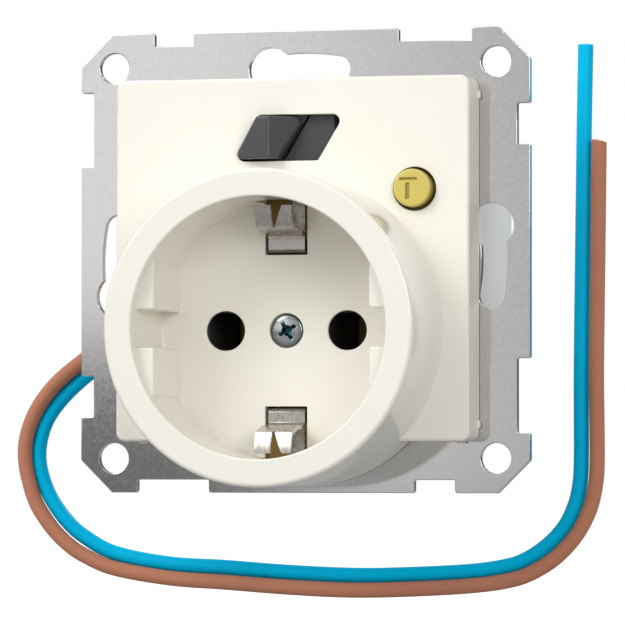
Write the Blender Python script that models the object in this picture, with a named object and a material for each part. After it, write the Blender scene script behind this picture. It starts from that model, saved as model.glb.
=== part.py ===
"""Flush-mounting wall socket outlet with a built-in residual current breaker.

The part hangs on the wall: X runs to the right, Y runs into the wall and Z runs up. The wall plane is
Y = 0, at the back of the mounting plate, and the origin is the centre of that plate. The front faces -Y.
"""
import math

import bpy
import bmesh
from mathutils import Matrix, Vector

MM = 0.001

# General clearances
GAP = 0.3 * MM                      # between pieces that touch on the real product
OVERCUT = 1.0 * MM                  # how far a cutter passes the face that it opens

# Mounting plate
PLATE_SIZE = 71.0 * MM
PLATE_THICKNESS = 1.25 * MM
PLATE_CORNER_CUT = 5.0 * MM
NOTCH_DEPTH = 2.0 * MM
SHORT_NOTCH_WIDTH = 6.3 * MM
SHORT_NOTCH_INSET = 14.85 * MM       # from the side's start to the notch's middle, clockwise
LONG_NOTCH_WIDTH = 11.4 * MM
LONG_NOTCH_INSET = 14.8 * MM         # from the notch's middle to the side's end
CORNER_HOLE_DIAMETER = 4.7 * MM
CORNER_HOLE_INSET = 5.3 * MM         # from the plate's edges
KEYHOLE_CIRCLE_RADIUS = 30.0 * MM
KEYHOLE_HEAD_DIAMETER = 6.8 * MM
KEYHOLE_SLOT_WIDTH = 4.0 * MM
KEYHOLE_HEAD_ANGLE = math.radians(-10.0)
KEYHOLE_SLOT_ANGLE = math.radians(10.4)

# Front cover
COVER_SIZE = 55.0 * MM
COVER_FRONT = -9.0 * MM             # its square front face
COVER_DEPTH = 5.5 * MM
COVER_CORNER_RADIUS = 1.4 * MM
COVER_EDGE_RADIUS = 0.5 * MM
COVER_WALL = 1.7 * MM
NUB_WIDTH = 1.2 * MM
NUB_RISE = 0.3 * MM
NUB_INSET = 2.6 * MM

# Socket collar and recess
SOCKET_Z = -10.92 * MM
COLLAR_RADIUS = 23.7 * MM
COLLAR_FRONT = -29.28 * MM
COLLAR_WALL = 1.6 * MM
COLLAR_EDGE_RADIUS = 0.7 * MM
RECESS_RADIUS = 19.5 * MM
RECESS_DEPTH = 17.5 * MM
RECESS_WALL = 1.5 * MM
RECESS_FLOOR = 2.4 * MM             # thickness of the recess floor
GUIDE_FLAT = 16.5 * MM              # flat faces of the guide blocks, from the socket's centre
GUIDE_INNER = 2.85 * MM             # the blocks' nearest and furthest edges above and below centre
GUIDE_OUTER = 10.3 * MM
GUIDE_SETBACK = 2.3 * MM            # from the collar's front to the blocks
PIN_PITCH = 19.0 * MM
PIN_HOLE_DIAMETER = 6.0 * MM
PIN_HOLE_CHAMFER = 0.3 * MM
EARTH_SLOT_WIDTH = 6.6 * MM
EARTH_SLOT_INNER = 11.45 * MM
EARTH_CHANNEL_HEIGHT = 6.0 * MM     # how far the slot climbs the recess wall

# Central screw
SCREW_HEAD_DIAMETER = 5.6 * MM
SCREW_HEAD_HEIGHT = 1.1 * MM
SCREW_SHAFT_DIAMETER = 3.0 * MM
SCREW_RECESS_SPAN = 3.6 * MM
SCREW_RECESS_WIDTH = 0.8 * MM
SCREW_RECESS_DEPTH = 0.6 * MM
SCREW_LENGTH = 8.5 * MM
COUNTERBORE_DEPTH = 1.5 * MM
NUT_DIAMETER = 5.2 * MM
NUT_LENGTH = 4.0 * MM

# Toggle window and toggle
WINDOW_X = -1.28 * MM
WINDOW_Z = 18.6 * MM
WINDOW_WIDTH = 13.45 * MM
WINDOW_HEIGHT = 7.05 * MM
WINDOW_SLANT = math.radians(31.0)
WINDOW_BLUNT_RADIUS = 1.1 * MM
WINDOW_SHARP_RADIUS = 0.45 * MM
TOGGLE_PIVOT_Y = 4.0 * MM
TOGGLE_TRAVEL = math.radians(22.0)
LEVER_WIDTH = 6.75 * MM
LEVER_RIDGE_X = -3.9 * MM           # the ridge, and how far it stands before the cover
LEVER_RIDGE_RISE = 2.6 * MM
LEVER_FACET_WIDTH = 3.0 * MM        # the facet left of the ridge, and what it and the others drop
LEVER_FACET_DROP = 0.4 * MM
LEVER_LEFT_DROP = 2.2 * MM
LEVER_RIGHT_DROP = 3.2 * MM
APRON_THICKNESS = 1.0 * MM
APRON_LAP = 0.45 * MM
APRON_LEFT = math.radians(-71.0)
APRON_RIGHT = math.radians(40.0)
HUB_RADIUS = 2.6 * MM
TOGGLE_PIN_DIAMETER = 2.0 * MM
TOGGLE_STEM_WIDTH = 2.4 * MM
CRANK_RADIUS = 7.0 * MM
CRANK_PEG_DIAMETER = 2.0 * MM
CRANK_ARM_WIDTH = 1.4 * MM
CRANK_HEIGHT = 3.0 * MM

# Test button
BUTTON_X = 18.4 * MM
BUTTON_Z = 10.75 * MM
BUTTON_DIAMETER = 6.0 * MM
BUTTON_HOLE_CLEARANCE = 0.2 * MM
BUTTON_RISE = 1.5 * MM
BUTTON_TRAVEL = 1.5 * MM
BUTTON_SLEEVE_WALL = 1.2 * MM
BUTTON_SLEEVE_DEPTH = 1.1 * MM
BUTTON_FLANGE_WIDTH = 0.9 * MM
BUTTON_FLANGE_THICKNESS = 0.8 * MM
BUTTON_STEM_DIAMETER = 2.4 * MM
SPRING_WIRE_DIAMETER = 0.45 * MM
SPRING_TURNS = 2.75

# Socket base and its contacts
BASE_RADIUS = 21.4 * MM
BASE_BOTTOM = -26.5 * MM            # flat that clears the lowest keyhole
BASE_BLOCK_HALF_WIDTH = 14.2 * MM
BASE_BLOCK_INSET = 3.4 * MM          # below the block, to the housing's inner face
BASE_BLOCK_TOP = 5.0 * MM
PIN_LENGTH = 19.0 * MM              # a plug's pin, from the recess floor
PIN_ROOM = 0.6 * MM                 # room past the pin's tip
CONTACT_GAP = 4.8 * MM
CONTACT_THICKNESS = 0.6 * MM
CONTACT_WIDTH = 5.0 * MM
CONTACT_TAIL_DIAMETER = 1.4 * MM
BASE_BACK_WALL = 1.0 * MM
EARTH_THICKNESS = 0.6 * MM
EARTH_WIDTH = 6.0 * MM
EARTH_SLIT_HALF_WIDTH = 1.05 * MM
CLIP_ROOT = 14.6 * MM               # from the socket's centre to the clip's upright run
CLIP_BULGE = 4.0 * MM               # how far its tip bends outward
CLIP_HEIGHT = 7.9 * MM              # from the recess floor to its tip
CLIP_FOOT = 0.7 * MM                # the fold behind the floor
LINK_WIDTH = 3.0 * MM
LINK_THICKNESS = 0.8 * MM
LINK_Z = -19.3 * MM

# Rear housing
HOUSING_HALF = 26.0 * MM
HOUSING_CORNER_REACH = 2.2 * MM      # how far the rounded corners pass the flat sides
HOUSING_WALL = 1.6 * MM
HOUSING_DEPTH = 28.0 * MM
TOWER_WALL = 1.0 * MM
REAR_COVER_THICKNESS = 2.0 * MM
HOUSING_SCREW_INSET = 8.5 * MM
HOUSING_SCREW_DIAMETER = 2.0 * MM
HOUSING_SCREW_HEAD = 3.6 * MM
HOUSING_BOSS_RADIUS = 2.4 * MM
SCREW_SINK = 1.0 * MM
SCREW_HEAD_THICKNESS = 1.2 * MM

# Mechanism behind the toggle
FRAME_THICKNESS = 0.8 * MM
FRAME_HALF_WIDTH = 8.0 * MM
FRAME_DEPTH = 17.0 * MM
CARRIER_LEFT = -8.0 * MM
CARRIER_RIGHT = 6.0 * MM
CARRIER_THICKNESS = 3.4 * MM
BLADE_LENGTH = 5.4 * MM
BLADE_HEIGHT = 1.8 * MM
BLADE_THICKNESS = 1.2 * MM
FIXED_CONTACT_THICKNESS = 0.8 * MM
FIXED_CONTACT_TAIL = 7.0 * MM

# Electronics
BOARD_HALF_WIDTH = 14.5 * MM
BOARD_BOTTOM = -17.8 * MM
BOARD_TOP = 9.5 * MM
BOARD_THICKNESS = 1.2 * MM
CORE_X = -7.5 * MM
CORE_Z = -4.0 * MM
CORE_RADIUS = 8.0 * MM
CORE_BORE = 4.0 * MM
CORE_REAR_ROOM = 8.8 * MM            # behind the core, for the conductors' bends
WINDING_THICKNESS = 0.8 * MM
WINDING_SPAN = math.radians(150.0)
CONDUCTOR_DIAMETER = 1.4 * MM
CONDUCTOR_SPACING = 3.0 * MM
RELAY_LEFT = -0.5 * MM
RELAY_WIDTH = 10.0 * MM
RELAY_HEIGHT = 7.0 * MM
RELAY_DEPTH = 8.0 * MM
PLUNGER_DIAMETER = 1.6 * MM
PLUNGER_TRAVEL = 0.5 * MM
RESISTOR_DIAMETER = 3.0 * MM
RESISTOR_LENGTH = 8.0 * MM
VARISTOR_RADIUS = 4.0 * MM
VARISTOR_THICKNESS = 2.0 * MM

# Terminals
TERMINAL_PITCH = 12.0 * MM
TERMINAL_WIDTH = 5.2 * MM
TERMINAL_HEIGHT = 8.4 * MM
TERMINAL_LENGTH = 7.0 * MM
TERMINAL_WALL = 0.8 * MM
TERMINAL_BOTTOM = -21.5 * MM
WIRE_HOLE_DIAMETER = 3.0 * MM
RELEASE_WIDTH = 3.0 * MM
RELEASE_HEIGHT = 2.2 * MM
RELEASE_TRAVEL = 1.2 * MM
RELEASE_RISE = 0.9 * MM
RELEASE_FLANGE = 0.6 * MM

# Leads, with their routes seen from the front, from the housing to the cut ends
LEAD_DIAMETER = 2.4 * MM
LEAD_STEP = 6.0 * MM
BROWN_Y = 17.9 * MM
BLUE_Y = 19.25 * MM
BROWN_ROUTE = [
    (-23.2, -8), (-26, -8), (-29.6, -8.3), (-33.43, -9.6), (-37.36, -11.9), (-41.07, -14.7),
    (-44.87, -17.7), (-47.77, -20.9), (-49.67, -24.1), (-50.67, -27.3), (-50.77, -30.4),
    (-50.17, -33.6), (-48.67, -37.4), (-46.27, -41), (-43.57, -43.7), (-40.67, -45.6), (-35.74, -47.6),
    (-26.58, -49.1), (-17.58, -49.7), (-7.48, -50.4), (2.52, -50.8), (12.02, -50.6), (22.02, -50),
    (28.32, -49.1), (32.02, -47.8), (35.62, -45.5), (38.72, -42.2), (40.72, -38.6), (41.72, -35),
    (42.12, -30.4), (42.02, -18), (42.12, -8), (42.32, 7), (42.47, 19.4)]
BLUE_ROUTE = [
    (-23.2, -11.7), (-26, -11.7), (-29.62, -11.8), (-33.39, -12.8), (-37.55, -14.9), (-41.54, -17.7),
    (-44.94, -20.9), (-47.24, -24.1), (-48.34, -27.3), (-48.54, -30.4), (-47.84, -33.6),
    (-46.34, -36.8), (-43.84, -40.1), (-40.84, -42.6), (-35.87, -45.1), (-26.94, -46.7),
    (-17.84, -47.2), (-7.74, -47.9), (2.26, -48.3), (10.46, -48.2), (21.66, -47.6), (27.76, -46.7),
    (30.96, -45.5), (34.16, -43.3), (36.66, -40.6), (38.26, -37.7), (39.06, -34.6), (39.36, -30.4),
    (39.36, -18), (39.46, -8), (39.66, 7), (39.86, 21), (40.11, 34.3)]

# Round facets: coarse on small pins, fine on the collar
FINE = 96
MEDIUM = 32
SMALL = 20
TINY = 12

# Places that follow from the sizes above
HOUSING_RADIUS = HOUSING_HALF + HOUSING_CORNER_REACH
HOUSING_SCREW_PLACE = HOUSING_HALF - HOUSING_SCREW_INSET
BASE_BLOCK_BOTTOM = BASE_BLOCK_INSET + HOUSING_WALL - HOUSING_HALF
PLATE_FRONT = -PLATE_THICKNESS
COVER_BACK = COVER_FRONT + COVER_WALL
COVER_REAR = COVER_FRONT + COVER_DEPTH
FLOOR_FRONT = COLLAR_FRONT + RECESS_DEPTH
FLOOR_BACK = FLOOR_FRONT + RECESS_FLOOR
CUP_RADIUS = RECESS_RADIUS + RECESS_WALL
BASE_FRONT = FLOOR_BACK + GAP
BASE_SEAT = PLATE_FRONT - GAP
CHAMBER_END = FLOOR_FRONT + PIN_LENGTH + PIN_ROOM + CONTACT_THICKNESS + GAP
BASE_REAR = CHAMBER_END + BASE_BACK_WALL
HOUSING_FRONT = GAP
HOUSING_INNER_FRONT = HOUSING_FRONT + HOUSING_WALL
REAR_COVER_FRONT = HOUSING_DEPTH + GAP
REAR_COVER_BACK = REAR_COVER_FRONT + REAR_COVER_THICKNESS
APRON_RADIUS = TOGGLE_PIVOT_Y - COVER_BACK - GAP
APRON_BOTTOM = WINDOW_Z - WINDOW_HEIGHT / 2 - APRON_LAP
APRON_TOP = WINDOW_Z + WINDOW_HEIGHT / 2 + APRON_LAP
TOWER_HALF_WIDTH = APRON_RADIUS + GAP
TOWER_BOTTOM = APRON_BOTTOM - GAP
TOWER_TOP = APRON_TOP + GAP
BOARD_FRONT = BASE_REAR + GAP
BOARD_BACK = BOARD_FRONT + BOARD_THICKNESS
CORE_FRONT = BOARD_BACK + 2 * GAP + WINDING_THICKNESS
CORE_BACK = HOUSING_DEPTH - CORE_REAR_ROOM
FRAME_FRONT = HOUSING_INNER_FRONT + GAP
TERMINAL_BACK = HOUSING_DEPTH - 2 * RELEASE_FLANGE - RELEASE_TRAVEL
TERMINAL_TOP = TERMINAL_BOTTOM + TERMINAL_HEIGHT


def clear_scene():
    """Remove every object of the scene that the script starts in."""
    for thing in list(bpy.data.objects):
        bpy.data.objects.remove(thing, do_unlink=True)


def finish(name, colour, roughness, metallic=0.0):
    """Principled material with one colour, a roughness and a metallic value."""
    material = bpy.data.materials.new(name)
    material.use_nodes = True
    shader = material.node_tree.nodes["Principled BSDF"]
    shader.inputs["Base Color"].default_value = (*colour, 1.0)
    shader.inputs["Roughness"].default_value = roughness
    shader.inputs["Metallic"].default_value = metallic
    return material


# Outlines in a plane, as lists of two coordinates

def circle(radius, segments, centre=(0.0, 0.0), turn=0.0):
    """Points around a circle, anticlockwise."""
    angles = [turn + 2 * math.pi * i / segments for i in range(segments)]
    return [(centre[0] + radius * math.cos(a), centre[1] + radius * math.sin(a)) for a in angles]


def arc(radius, start, end, segments, centre=(0.0, 0.0)):
    """Points along an arc, both ends included."""
    angles = [start + (end - start) * i / segments for i in range(segments + 1)]
    return [(centre[0] + radius * math.cos(a), centre[1] + radius * math.sin(a)) for a in angles]


def rectangle(low_u, low_v, high_u, high_v):
    """Four corners, anticlockwise."""
    return [(low_u, low_v), (high_u, low_v), (high_u, high_v), (low_u, high_v)]


def rounded(corners, radii, segments=5):
    """Round each corner of a convex outline with an arc of its own radius."""
    points = []
    count = len(corners)
    for i, radius in enumerate(radii):
        corner = Vector(corners[i])
        before = (Vector(corners[i - 1]) - corner).normalized()
        after = (Vector(corners[(i + 1) % count]) - corner).normalized()
        half = before.angle(after) / 2
        centre = corner + (before + after).normalized() * (radius / math.sin(half))
        start = corner + before * (radius / math.tan(half)) - centre
        sweep = (corner + after * (radius / math.tan(half)) - centre).angle_signed(start)
        for step in range(segments + 1):
            spoke = Matrix.Rotation(sweep * step / segments, 2) @ start
            points.append(tuple(centre + spoke))
    return points


def square_in_circle(half, radius, segments=6):
    """A square whose corners are cut back to a circle around its centre."""
    lean = math.acos(half / radius)
    points = []
    for quarter in range(4):
        start = quarter * math.pi / 2 + lean
        end = (quarter + 1) * math.pi / 2 - lean
        points += arc(radius, start, end, segments)
    return points


def ribbon(path, thickness):
    """Outline of a strip of even thickness along a path, with mitred bends."""
    points = [Vector(p) for p in path]
    left = []
    right = []
    for i, point in enumerate(points):
        before = (point - points[i - 1]).normalized() if i else None
        after = (points[i + 1] - point).normalized() if i + 1 < len(points) else None
        along = (before + after).normalized() if before and after else (before or after)
        reach = thickness / 2 / along.dot(before or after)
        side = Vector((-along.y, along.x)) * reach
        left.append(tuple(point + side))
        right.append(tuple(point - side))
    return left + right[::-1]


# Solids as rings of points, which are skinned and capped

def place(axis, u, v, along):
    """Point with outline coordinates u and v, and a distance along X, Y or Z."""
    return {"X": (along, u, v), "Y": (u, along, v), "Z": (u, v, along)}[axis]


def extrusion(outline, start, end, axis="Y"):
    """Prism of an outline between two stations of an axis."""
    rings = [[place(axis, u, v, station) for u, v in outline] for station in (start, end)]
    return rings, False


def lathe(profile, segments, centre=(0.0, 0.0), axis="Y", closed=False):
    """Turned solid: each profile point is a radius and a station along the axis."""
    rings = [[place(axis, u, v, station) for u, v in circle(radius, segments, centre)]
             for radius, station in profile]
    return rings, closed


def pipe(outer, inner, start, end, axis="Y"):
    """Open-ended tube between an outer and an inner outline with as many points."""
    rings = []
    for outline, station in ((outer, start), (outer, end), (inner, end), (inner, start)):
        rings.append([place(axis, u, v, station) for u, v in outline])
    return rings, True


def wire(points, diameter, sides):
    """Round wire through points, with a frame carried along without twist."""
    path = [Vector(p) for p in points]
    tangents = []
    for i in range(len(path)):
        tangents.append((path[min(i + 1, len(path) - 1)] - path[max(i - 1, 0)]).normalized())
    side = tangents[0].orthogonal().normalized()
    rings = []
    for point, tangent in zip(path, tangents):
        side = (side - tangent * side.dot(tangent)).normalized()
        other = tangent.cross(side)
        rings.append([tuple(point + side * u + other * v)
                      for u, v in circle(diameter / 2, sides)])
    return rings, False


def mesh_from(name, shapes):
    """One mesh that holds each shape as a closed body."""
    work = bmesh.new()
    for rings, closed in shapes:
        loops = [[work.verts.new(point) for point in ring] for ring in rings]
        count = len(loops[0])
        pairs = list(zip(loops, loops[1:]))
        if closed:
            pairs.append((loops[-1], loops[0]))
        for near, far in pairs:
            for i in range(count):
                j = (i + 1) % count
                work.faces.new((near[i], near[j], far[j], far[i]))
        if not closed:
            work.faces.new(loops[0][::-1])
            work.faces.new(loops[-1])
    bmesh.ops.recalc_face_normals(work, faces=work.faces)
    mesh = bpy.data.meshes.new(name)
    work.to_mesh(mesh)
    work.free()
    return mesh


def smooth_round_faces(mesh):
    """Shade round stretches smooth and keep real edges sharp."""
    mesh.shade_smooth()
    mesh.set_sharp_from_angle(angle=math.radians(35.0))


def piece(name, shapes, material, parent=None):
    """A sub-part of the product, with its own material."""
    mesh = mesh_from(name, shapes)
    smooth_round_faces(mesh)
    mesh.materials.append(material)
    thing = bpy.data.objects.new(name, mesh)
    bpy.context.scene.collection.objects.link(thing)
    if parent:
        ride_on(thing, parent)
    return thing


def combine(target, operation, shapes, label):
    """Union, cut or intersect a piece with shapes that stay hidden guides."""
    tool = bpy.data.objects.new(target.name + "_" + label, mesh_from(label, shapes))
    bpy.context.scene.collection.objects.link(tool)
    tool.hide_render = True
    tool.hide_viewport = False
    tool.display_type = "WIRE"
    tool.parent = target
    step = target.modifiers.new(label, "BOOLEAN")
    step.operation = operation
    step.solver = "EXACT"
    step.object = tool
    return tool


def axis_empty(name, location):
    """An empty on a joint's axis."""
    empty = bpy.data.objects.new(name, None)
    empty.location = location
    bpy.context.scene.collection.objects.link(empty)
    return empty


def ride_on(thing, empty):
    """Parent a piece to an empty and leave it where it is."""
    thing.parent = empty
    thing.matrix_parent_inverse = Matrix.Translation(empty.location).inverted()


# Mounting plate

def clockwise(along, outward, side):
    """Place a point of the top side on side 0 to 3, going clockwise seen from the front."""
    turned = [(along, outward), (outward, -along), (-along, -outward), (-outward, along)]
    return turned[side]


def plate_outline():
    """Square with cut corners, and a short and a long notch in each side."""
    half = PLATE_SIZE / 2
    inner = half - NOTCH_DEPTH
    short_start = -half + SHORT_NOTCH_INSET - SHORT_NOTCH_WIDTH / 2
    short_end = short_start + SHORT_NOTCH_WIDTH
    long_end = half - LONG_NOTCH_INSET + LONG_NOTCH_WIDTH / 2
    long_start = long_end - LONG_NOTCH_WIDTH
    top = [(-half + PLATE_CORNER_CUT, half), (short_start, half), (short_start, inner),
           (short_end, inner), (short_end, half), (long_start, half), (long_start, inner),
           (long_end, inner), (long_end, half), (half - PLATE_CORNER_CUT, half)]
    return [clockwise(along, outward, side) for side in range(4) for along, outward in top]


def keyhole_outline(side):
    """Round head and an arc-shaped slot that leaves it clockwise, on one circle."""
    head = KEYHOLE_HEAD_DIAMETER / 2
    half = KEYHOLE_SLOT_WIDTH / 2
    ring = KEYHOLE_CIRCLE_RADIUS

    def meets(radius):
        return math.acos((radius ** 2 + ring ** 2 - head ** 2) / (2 * radius * ring))

    def polar(radius, angle):
        return radius * math.sin(angle), radius * math.cos(angle)

    outer_start = KEYHOLE_HEAD_ANGLE + meets(ring + half)
    inner_start = KEYHOLE_HEAD_ANGLE + meets(ring - half)
    points = [polar(ring + half, outer_start + (KEYHOLE_SLOT_ANGLE - outer_start) * i / 5)
              for i in range(6)]
    end = polar(ring, KEYHOLE_SLOT_ANGLE)
    for i in range(1, 8):
        turn = math.pi / 2 - KEYHOLE_SLOT_ANGLE - math.pi * i / 8
        points.append((end[0] + half * math.cos(turn), end[1] + half * math.sin(turn)))
    points += [polar(ring - half, KEYHOLE_SLOT_ANGLE + (inner_start - KEYHOLE_SLOT_ANGLE) * i / 5)
               for i in range(6)]
    centre = Vector(polar(ring, KEYHOLE_HEAD_ANGLE))
    first = Vector(polar(ring - half, inner_start)) - centre
    last = Vector(polar(ring + half, outer_start)) - centre
    start_angle = math.atan2(first.y, first.x)
    end_angle = math.atan2(last.y, last.x) - 2 * math.pi
    points += arc(head, start_angle, end_angle, 16, centre)[1:-1]
    return [clockwise(along, outward, side) for along, outward in points]


def base_opening(clearance):
    """Rectangle that the base's rear block passes through."""
    return rectangle(-BASE_BLOCK_HALF_WIDTH - clearance, BASE_BLOCK_BOTTOM - clearance,
                     BASE_BLOCK_HALF_WIDTH + clearance, BASE_BLOCK_TOP + clearance)


def tower_outline(grow):
    """Rectangle around the toggle, grown from the inside of the housing's tower."""
    return rectangle(WINDOW_X - TOWER_HALF_WIDTH - grow, TOWER_BOTTOM - grow,
                     WINDOW_X + TOWER_HALF_WIDTH + grow, TOWER_TOP + grow)


def housing_screw_places():
    """Centres of the four long screws."""
    place_at = HOUSING_SCREW_PLACE
    return [(sx * place_at, sz * place_at) for sx in (-1, 1) for sz in (-1, 1)]


def build_mounting_plate(steel):
    """Stamped plate with its four keyholes, corner holes and openings."""
    plate = piece("mounting_plate", [extrusion(plate_outline(), PLATE_FRONT, 0.0)], steel)
    front = PLATE_FRONT - OVERCUT
    back = OVERCUT
    corner = PLATE_SIZE / 2 - CORNER_HOLE_INSET
    keyholes = [extrusion(keyhole_outline(side), front, back) for side in range(4)]
    combine(plate, "DIFFERENCE", keyholes, "keyholes")
    holes = []
    for sx in (-1, 1):
        for sz in (-1, 1):
            hole = circle(CORNER_HOLE_DIAMETER / 2, MEDIUM, (sx * corner, sz * corner))
            holes.append(extrusion(hole, front, back))
    for centre in housing_screw_places():
        hole = circle(HOUSING_SCREW_DIAMETER / 2 + GAP, TINY, centre)
        holes.append(extrusion(hole, front, back))
    combine(plate, "DIFFERENCE", holes, "screw_holes")
    stem = circle(BUTTON_STEM_DIAMETER / 2 + GAP, TINY, (BUTTON_X, BUTTON_Z))
    middle = [extrusion(base_opening(GAP), front, back),
              extrusion(tower_outline(TOWER_WALL + GAP), front, back),
              extrusion(stem, front, back)]
    combine(plate, "DIFFERENCE", middle, "openings")
    return plate


# Front cover

def cover_outline(inset):
    """Rounded square of the cover, drawn in by an inset."""
    half = COVER_SIZE / 2 - inset
    radius = max(COVER_CORNER_RADIUS - inset, COVER_CORNER_RADIUS / 4)
    return rounded(rectangle(-half, -half, half, half), [radius] * 4, 4)


def window_outline(inset, width, left):
    """Slanted window, or the lever that fills part of it, from its left edge at mid height."""
    lean = math.tan(WINDOW_SLANT)
    low = WINDOW_Z - WINDOW_HEIGHT / 2 + inset
    high = WINDOW_Z + WINDOW_HEIGHT / 2 - inset
    corners = []
    for x, z in ((left, low), (left + width, low), (left + width, high), (left, high)):
        corners.append((x + (z - WINDOW_Z) * lean, z))
    blunt = WINDOW_BLUNT_RADIUS - inset / 2
    sharp = WINDOW_SHARP_RADIUS
    return rounded(corners, [blunt, sharp, blunt, sharp], 4)


def guide_blocks():
    """Four blocks that guide a plug: a flat inner face and a round back inside the cup wall."""
    reach = RECESS_RADIUS + RECESS_WALL / 2
    shapes = []
    for side in (-1, 1):
        for level in (-1, 1):
            start = math.asin(GUIDE_INNER / reach)
            end = math.asin(GUIDE_OUTER / reach)
            rim = arc(reach, start, end, 5)
            outline = [(GUIDE_FLAT, GUIDE_INNER)] + rim + [(GUIDE_FLAT, GUIDE_OUTER)]
            outline = [(side * u, SOCKET_Z + level * v) for u, v in outline]
            shapes.append(extrusion(outline, COLLAR_FRONT + GUIDE_SETBACK,
                                    FLOOR_FRONT + RECESS_FLOOR / 2))
    return shapes


def skirt_nubs():
    """Two small nubs near each end of every side of the skirt, at its rear edge."""
    half = COVER_SIZE / 2
    shapes = []
    for side in range(4):
        for end in (-1, 1):
            along = end * (half - NUB_INSET)
            corners = rectangle(along - NUB_WIDTH / 2, half - COVER_WALL / 2,
                                along + NUB_WIDTH / 2, half + NUB_RISE)
            outline = [clockwise(u, v, side) for u, v in corners]
            shapes.append(extrusion(outline, COVER_REAR - NUB_WIDTH, COVER_REAR - GAP / 3))
    return shapes


def build_front_cover(cream):
    """Square front with its collar: a double wall, open at the back, around the plug recess."""
    edge = COVER_EDGE_RADIUS
    rings = []
    for step in range(4):
        turn = step * math.pi / 6
        inset = edge * (1 - math.sin(turn))
        station = COVER_FRONT + edge * (1 - math.cos(turn))
        rings.append([(u, station, v) for u, v in cover_outline(inset)])
    rings.append([(u, COVER_REAR, v) for u, v in cover_outline(0.0)])
    cover = piece("front_cover", [(rings, False)], cream)

    centre = (0.0, SOCKET_Z)
    rim = COLLAR_EDGE_RADIUS
    profile = [(COLLAR_RADIUS - rim * (1 - math.sin(t)), COLLAR_FRONT + rim * (1 - math.cos(t)))
               for t in (0.0, math.pi / 6, math.pi / 3, math.pi / 2)]
    profile.append((COLLAR_RADIUS, COVER_REAR))
    combine(cover, "UNION", [lathe(profile, FINE, centre)], "collar")

    behind = COVER_REAR + OVERCUT
    inside = extrusion(cover_outline(COVER_WALL), COVER_BACK, behind)
    combine(cover, "DIFFERENCE", [inside], "inside")
    hollow = [(COLLAR_RADIUS - COLLAR_WALL, COLLAR_FRONT + COLLAR_WALL),
              (COLLAR_RADIUS - COLLAR_WALL, behind)]
    combine(cover, "DIFFERENCE", [lathe(hollow, FINE, centre)], "collar_inside")
    cup = [(CUP_RADIUS, COLLAR_FRONT + COLLAR_WALL / 2), (CUP_RADIUS, FLOOR_BACK)]
    combine(cover, "UNION", [lathe(cup, FINE, centre)], "cup")

    mouth = COLLAR_EDGE_RADIUS / 2
    recess = [(RECESS_RADIUS + mouth + OVERCUT, COLLAR_FRONT - OVERCUT),
              (RECESS_RADIUS, COLLAR_FRONT + mouth), (RECESS_RADIUS, FLOOR_FRONT)]
    combine(cover, "DIFFERENCE", [lathe(recess, FINE, centre)], "recess")

    bore = BUTTON_DIAMETER / 2 + BUTTON_HOLE_CLEARANCE
    sleeve = circle(bore + BUTTON_SLEEVE_WALL, MEDIUM, (BUTTON_X, BUTTON_Z))
    details = guide_blocks() + skirt_nubs()
    details.append(extrusion(sleeve, COVER_BACK - COVER_WALL / 2, COVER_BACK + BUTTON_SLEEVE_DEPTH))
    combine(cover, "UNION", details, "guides")

    through = FLOOR_BACK + OVERCUT
    openings = []
    for side in (-1, 1):
        radius = PIN_HOLE_DIAMETER / 2
        hole = [(radius + PIN_HOLE_CHAMFER + OVERCUT, FLOOR_FRONT - OVERCUT),
                (radius, FLOOR_FRONT + PIN_HOLE_CHAMFER), (radius, through)]
        openings.append(lathe(hole, MEDIUM, (side * PIN_PITCH / 2, SOCKET_Z)))
        outline = rectangle(-EARTH_SLOT_WIDTH / 2, EARTH_SLOT_INNER,
                            EARTH_SLOT_WIDTH / 2, CUP_RADIUS - RECESS_WALL / 3)
        outline = [(u, SOCKET_Z + side * v) for u, v in outline]
        openings.append(extrusion(outline, FLOOR_FRONT - EARTH_CHANNEL_HEIGHT, through))
    bolt = [(SCREW_HEAD_DIAMETER / 2 + GAP, FLOOR_FRONT - OVERCUT),
            (SCREW_HEAD_DIAMETER / 2 + GAP, FLOOR_FRONT + COUNTERBORE_DEPTH),
            (SCREW_SHAFT_DIAMETER / 2 + GAP, FLOOR_FRONT + COUNTERBORE_DEPTH),
            (SCREW_SHAFT_DIAMETER / 2 + GAP, through)]
    openings.append(lathe(bolt, MEDIUM, centre))
    window = window_outline(0.0, WINDOW_WIDTH, WINDOW_X - WINDOW_WIDTH / 2)
    openings.append(extrusion(window, COVER_FRONT - OVERCUT, COVER_BACK + OVERCUT))
    openings.append(extrusion(circle(bore, MEDIUM, (BUTTON_X, BUTTON_Z)),
                              COVER_FRONT - OVERCUT, COVER_BACK + BUTTON_SLEEVE_DEPTH + OVERCUT))
    combine(cover, "DIFFERENCE", openings, "openings")
    return cover


# Socket base, live contacts and earth strip

def base_outline():
    """Round face of the base, cut flat below to clear the lowest keyhole."""
    drop = math.asin((SOCKET_Z - BASE_BOTTOM) / BASE_RADIUS)
    return arc(BASE_RADIUS, -drop, math.pi + drop, MEDIUM * 2, (0.0, SOCKET_Z))


def strip_stations():
    """Front, middle and back of the earth strip's flat run."""
    return BASE_FRONT, BASE_FRONT + EARTH_THICKNESS / 2, BASE_FRONT + EARTH_THICKNESS


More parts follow.
